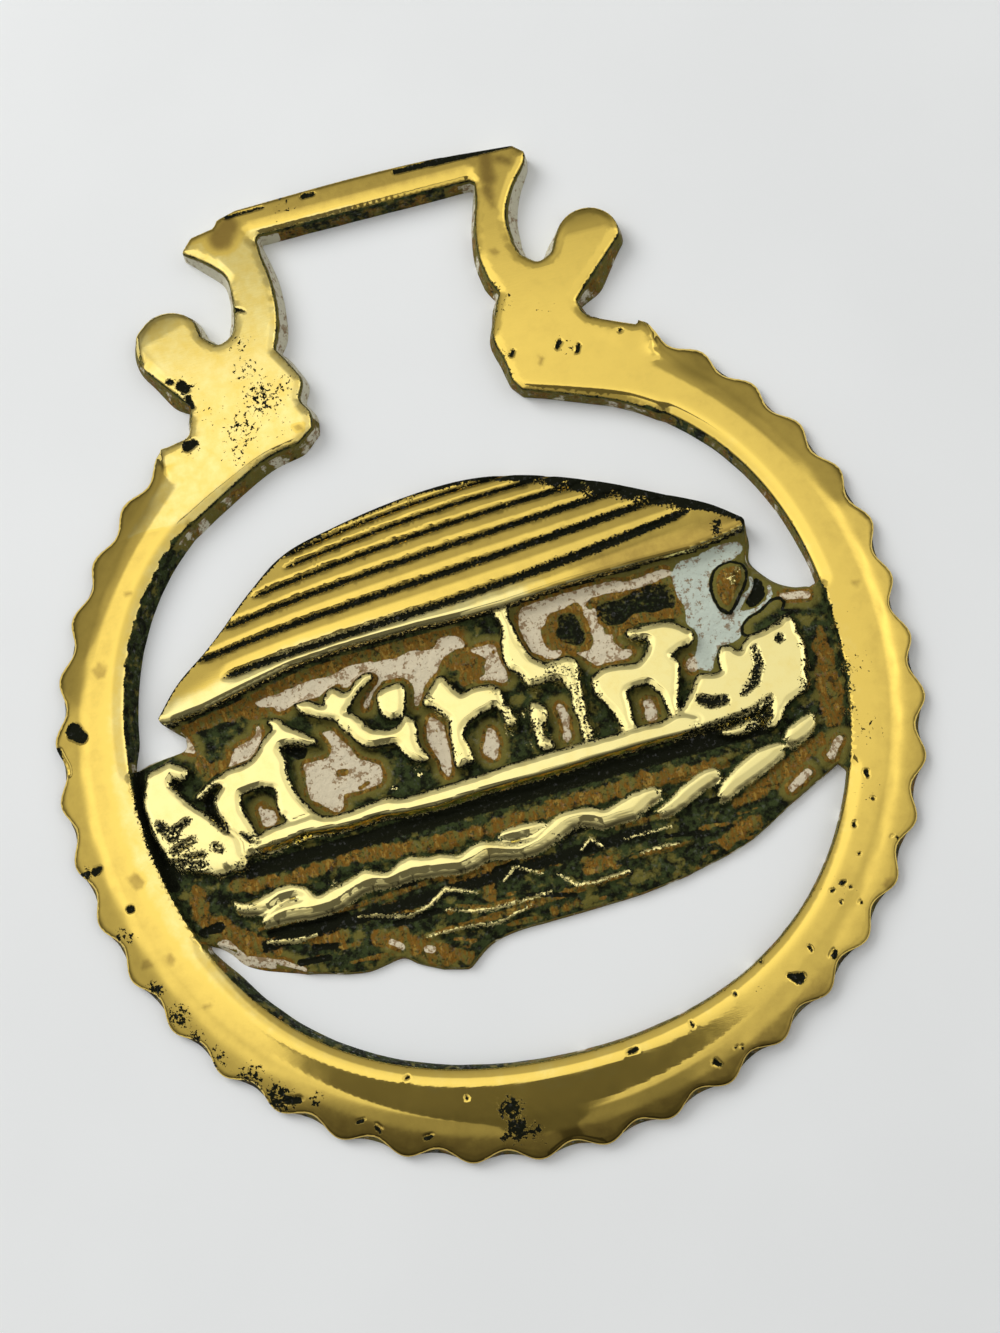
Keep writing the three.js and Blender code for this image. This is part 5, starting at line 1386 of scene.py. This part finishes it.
def weathered_brass(finish):
    """Polished high places, pitted and tarnished, over dark patina and dried polish, with painted highlight,
    sheen and shadow mixed into the colours.
    """
    material = bpy.data.materials.new("weathered brass")
    material.use_nodes = True
    nodes = Nodes(material.node_tree)
    shader = material.node_tree.nodes["Principled BSDF"]
    place = nodes.add("ShaderNodeTexCoord").outputs["Object"]
    ragged, pitting = ragged_edge_group(), pitting_group()
    metal = nodes.attribute("metal")
    pit_amount = nodes.attribute("pits")
    bright = use_group(nodes, ragged, Vector=place, Distance=metal, Grain=4200.0,
                       Raggedness=nodes.attribute("ragged"))
    pits = use_group(nodes, pitting, Vector=place, Amount=pit_amount)
    bright = nodes.times(bright, nodes.minus(1, pits))
    near_dried = nodes.attribute("residue")
    residue = use_group(nodes, ragged, Vector=place, Distance=near_dried, Raggedness=0.35, Grain=1500.0)

    cloud = nodes.noise(place, 700, 4, 0.6)
    speck = nodes.noise(place, 3000, 2, 0.6)
    vein = nodes.noise(place, 1150, 5, 0.7)
    shift = nodes.push(vein, 1.6)
    patina = nodes.mix(nodes.step(vein, 0.40, 0.60), tuple(finish.black), tuple(finish.green))
    olive = nodes.sum("MAXIMUM", nodes.step(cloud, 0.52, 0.66),
                      nodes.step(nodes.plus(near_dried, nodes.times(shift, 0.6)), -1.2, -0.6))
    patina = nodes.mix(olive, patina, tuple(finish.olive))
    streak = nodes.noise(place, 1000, 4, 0.65, (1.6, 0.6, 1))
    brown = nodes.mix(nodes.step(streak, 0.36, 0.56), tuple(finish.olive), tuple(finish.amber_and_shadow))
    brown = nodes.mix(nodes.step(streak, 0.53, 0.64, 0, 0.9), brown, tuple(finish.gold))
    brown = nodes.mix(nodes.step(speck, 0.53, 0.66, 0, 0.75), brown, tuple(finish.green))
    brown = nodes.mix(nodes.step(vein, 0.44, 0.36, 0, 0.7), brown, tuple(finish.black))
    # The amber mask holds brown patina and the painted shadow under the eave.
    stain_and_shadow = nodes.plus(nodes.attribute("amber_and_shadow"), nodes.times(shift, 0.9))
    patina = nodes.mix(nodes.step(stain_and_shadow, 0.3, 0.75), patina, brown)
    dried = nodes.mix(nodes.attribute("chalk"), tuple(finish.cream), tuple(finish.chalk))
    edge = nodes.step(near_dried, 0, 0.7, 0.08, 0)
    edge = nodes.plus(edge, nodes.push(cloud, 0.45))
    crumbs = nodes.step(nodes.plus(nodes.noise(place, 2100, 4, 0.75), edge), 0.56, 0.64)
    dried = nodes.mix(nodes.times(crumbs, 0.75), dried, tuple(finish.amber_and_shadow))
    patina = nodes.mix(residue, patina, dried)
    soot = nodes.plus(nodes.attribute("soot"), nodes.push(speck, 1.1))
    soot = nodes.sum("MAXIMUM", nodes.step(soot, 0.3, 0.65), pits)
    patina = nodes.mix(soot, patina, tuple(finish.black))

    # The tarnish attribute holds real tarnish with painted sheen: low values give the paler polished brass
    # as a painted highlight.
    dull_and_sheen = nodes.plus(nodes.attribute("tarnish_and_sheen"), nodes.push(cloud, 0.35), clamp=True)
    brass = nodes.mix(nodes.step(dull_and_sheen, 0, 0.35), tuple(finish.polished), tuple(finish.worn))
    brass = nodes.mix(nodes.step(dull_and_sheen, 0.35, 1), brass, tuple(finish.tarnished))
    nodes.link(nodes.mix(bright, patina, brass), shader.inputs["Base Color"])
    nodes.link(bright, shader.inputs["Metallic"])
    wet = nodes.step(nodes.noise(place, 2400, 3, 0.7), 0.56, 0.68)
    nodes.link(nodes.plus(nodes.times(wet, 0.5), 0.03), shader.inputs["Specular IOR Level"])
    smear = nodes.noise(place, 260, 3, 0.6)
    polish = nodes.step(smear, 0.35, 0.8, finish.polish_roughness, finish.polish_roughness + 0.03)
    polish = nodes.plus(polish, nodes.times(dull_and_sheen, 0.03))
    grime = nodes.step(wet, 0, 1, finish.grime_roughness + 0.25, finish.grime_roughness - 0.12)
    level = nodes.add("ShaderNodeMix", data_type="FLOAT")
    nodes.link(bright, level.inputs[0])
    nodes.link(grime, level.inputs[2])
    nodes.link(polish, level.inputs[3])
    nodes.link(level.outputs[0], shader.inputs["Roughness"])

    # Heights of the fine surface, in millimetres.
    scratch = nodes.noise(place, 900, 2, 0.5, (1, 7, 1))
    wobble = nodes.noise(place, 160, 2, 0.5)
    lumps = nodes.noise(place, 1300, 4, 0.62)
    height = nodes.plus(nodes.times(scratch, 0.0005), nodes.times(wobble, 0.01))
    grainy = nodes.times(lumps, nodes.times(nodes.minus(1, bright), 0.22))
    height = nodes.plus(height, grainy)
    height = nodes.plus(height, nodes.times(bright, 0.12))
    bump = nodes.add("ShaderNodeBump")
    bump.inputs["Strength"].default_value = 1
    bump.inputs["Distance"].default_value = MM
    nodes.link(height, bump.inputs["Height"])
    nodes.link(bump.outputs[0], shader.inputs["Normal"])
    return material


def floor_material(studio):
    material = bpy.data.materials.new("studio floor")
    material.use_nodes = True
    nodes = Nodes(material.node_tree)
    shader = material.node_tree.nodes["Principled BSDF"]
    place = nodes.add("ShaderNodeTexCoord").outputs["Object"]
    shade = nodes.step(nodes.noise(place, 30, 3), 0.3, 0.7)
    darker = tuple(channel * 0.97 for channel in studio.floor[:3]) + (1,)
    nodes.link(nodes.mix(shade, darker, tuple(studio.floor)), shader.inputs["Base Color"])
    shader.inputs["Roughness"].default_value = 0.9
    return material


# ---------------------------------------------------------------- operators

def sizes_in_mm(scene):
    group = scene.brass_sizes
    return {name: getattr(group, name) / MM for name in group.__annotations__}


class CastBrass(bpy.types.Operator):
    """Make the casting: ring, hanger, plate and relief as one closed mesh with its finish"""
    bl_idname = "horse_brass.cast"
    bl_label = "Cast the Brass"

    def execute(self, context):
        sizes = sizes_in_mm(context.scene)
        group = context.scene.brass_sizes
        material = weathered_brass(context.scene.brass_finish)
        mesh, tree = casting_mesh(sizes)
        piece = bpy.data.objects.new("ark_horse_brass", mesh)
        context.scene.collection.objects.link(piece)
        apply_tree(piece, plank_tree(material), {
            "Depth": group.groove_depth,
            "Half Width": sizes["groove_width"] / PLANK_WIDTH,
            "Crown": group.plank_crown,
        })
        apply_tree(piece, scallop_tree(material), {
            "First Lobe": group.first_scallop,
            "Pitch": group.scallop_pitch,
            "Depth": group.scallop_depth,
            "Slope": RIM_SLOPE,
        })
        paint(piece.data, sizes, tree)
        piece.data.shade_smooth()
        piece.data.set_sharp_from_angle(angle=math.radians(70))
        for name in ("rim", "roof", "plank"):
            piece.data.attributes.remove(piece.data.attributes[name])
        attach(piece, "root")
        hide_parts(NODE)
        return {"FINISHED"}


def studio_world(studio):
    """Soft light from above, darker towards the horizon and where the camera stands."""
    world = bpy.data.worlds.new("studio")
    world.use_nodes = True
    nodes = Nodes(world.node_tree)
    split = nodes.add("ShaderNodeSeparateXYZ")
    nodes.link(nodes.add("ShaderNodeTexCoord").outputs["Generated"], split.inputs[0])
    x, y, z = split.outputs
    sky = nodes.plus(nodes.step(z, 0.1, 0.5, 0.12, 0.4), nodes.step(z, 0.55, 0.9, 0, 0.6))
    left = nodes.times(nodes.step(x, -0.12, 0.12, 1.16, 0.86), nodes.step(x, 0.35, 0.7, 1, 2.3))
    left = nodes.times(left, nodes.step(x, -0.7, -0.35, 1.4, 1))
    near = nodes.step(y, -0.12, 0.15, 0.75, 1)
    far = nodes.step(y, 0.35, 0.44, 1, 0.5)
    light = nodes.times(nodes.times(sky, left), nodes.times(near, far))
    up = nodes.sum("MAXIMUM", z, 0.01)
    across, along = nodes.sum("DIVIDE", x, up), nodes.sum("DIVIDE", y, up)
    edge = nodes.step(across, -0.18, -0.165)
    bevel = nodes.sum("MAXIMUM", nodes.times(along, 1.6), -0.06)
    right = nodes.step(nodes.minus(across, bevel), 0.04, 0.03)
    ahead = nodes.step(nodes.plus(along, nodes.times(across, 0.25)), 0.03, 0.02)
    hood = nodes.times(nodes.times(edge, right), nodes.times(ahead, 0.86))
    # Whoever holds the camera darkens everything that leans towards the near side.
    lean = nodes.sum("SQRT", nodes.minus(1.0001, nodes.times(z, z)))
    facing = nodes.plus(nodes.times(x, -0.26), nodes.times(y, -0.97))
    holder = nodes.step(nodes.sum("DIVIDE", facing, lean), 0.66, 0.9)
    holder = nodes.times(holder, nodes.step(lean, 0.15, 0.3, 0, 0.62))
    dark = nodes.sum("MAXIMUM", hood, holder)
    light = nodes.times(light, nodes.minus(1, dark))
    shader = world.node_tree.nodes["Background"]
    shader.inputs["Color"].default_value = (1, 1, 1, 1)
    nodes.link(nodes.times(light, studio.sky), shader.inputs["Strength"])
    return world


FLOOR_REACH = 1.5
FLOOR_GAP = 0.02
# The camera's place in millimetres, the last above the face, and its turns in degrees.
CAMERA_PLACE = (6.889, -33.27, 175.23)
CAMERA_TURN = (-11.2, -4.26, 13.65)


class SetStage(bpy.types.Operator):
    """Lay the brass on a plain pale floor under soft studio light, seen from above"""
    bl_idname = "horse_brass.set_stage"
    bl_label = "Set the Stage"

    def execute(self, context):
        scene, studio = context.scene, context.scene.studio
        mesh = bpy.data.meshes.new("floor")
        corners = [(x * FLOOR_REACH, y * FLOOR_REACH, 0) for x, y in ((-1, -1), (1, -1), (1, 1), (-1, 1))]
        mesh.from_pydata(corners, [], [(0, 1, 2, 3)])
        mesh.transform(Matrix.Translation((0, 0, cad_low.z - FLOOR_GAP * MM)))
        mesh.materials.append(floor_material(studio))
        floor = bpy.data.objects.new("floor", mesh)
        scene.collection.objects.link(floor)
        scene.world = studio_world(studio)
        lamp = bpy.data.lights.new("key", "AREA")
        lamp.energy = studio.key
        lamp.shape = "DISK"
        lamp.size = 0.45
        key = bpy.data.objects.new("key", lamp)
        key.location = (-0.35, 0.4, 0.45)
        key.rotation_euler = (-key.location).to_track_quat("-Z", "Y").to_euler()
        key.visible_glossy = False
        scene.collection.objects.link(key)
        camera = bpy.data.objects.new("camera", bpy.data.cameras.new("camera"))
        camera.data.lens = studio.lens
        camera.data.clip_start = 0.01
        x, y, above_face = CAMERA_PLACE
        camera.location = (x * MM, y * MM, above_face * MM + scene.brass_sizes.face_height)
        pose = Matrix.Identity(3)
        for degrees, axis in zip(CAMERA_TURN, "XYZ"):
            pose = pose @ Matrix.Rotation(math.radians(degrees), 3, axis)
        camera.rotation_euler = pose.transposed().to_euler()
        scene.collection.objects.link(camera)
        scene.camera = camera
        scene.view_settings.view_transform = "Standard"
        return {"FINISHED"}


class BrassPanel(bpy.types.Panel):
    """Sizes, colours and buttons for the horse brass"""
    bl_idname = "VIEW3D_PT_horse_brass"
    bl_label = "Horse Brass"
    bl_space_type = "VIEW_3D"
    bl_region_type = "UI"
    bl_category = "Horse Brass"

    def draw(self, context):
        for group in (context.scene.brass_sizes, context.scene.brass_finish, context.scene.studio):
            box = self.layout.box()
            for name in group.__annotations__:
                box.prop(group, name)
        self.layout.operator(CastBrass.bl_idname)
        self.layout.operator(SetStage.bl_idname)


CLASSES = (BrassSizes, BrassFinish, StudioSettings, CastBrass, SetStage, BrassPanel)


def register():
    for item in CLASSES:
        bpy.utils.register_class(item)
    bpy.types.Scene.brass_sizes = PointerProperty(type=BrassSizes)
    bpy.types.Scene.brass_finish = PointerProperty(type=BrassFinish)
    bpy.types.Scene.studio = PointerProperty(type=StudioSettings)


def unregister():
    del bpy.types.Scene.studio
    del bpy.types.Scene.brass_finish
    del bpy.types.Scene.brass_sizes
    for item in reversed(CLASSES):
        bpy.utils.unregister_class(item)


def main():
    register()
    bpy.ops.horse_brass.set_stage()
    bpy.ops.horse_brass.cast()


if __name__ == "__main__":
    main()
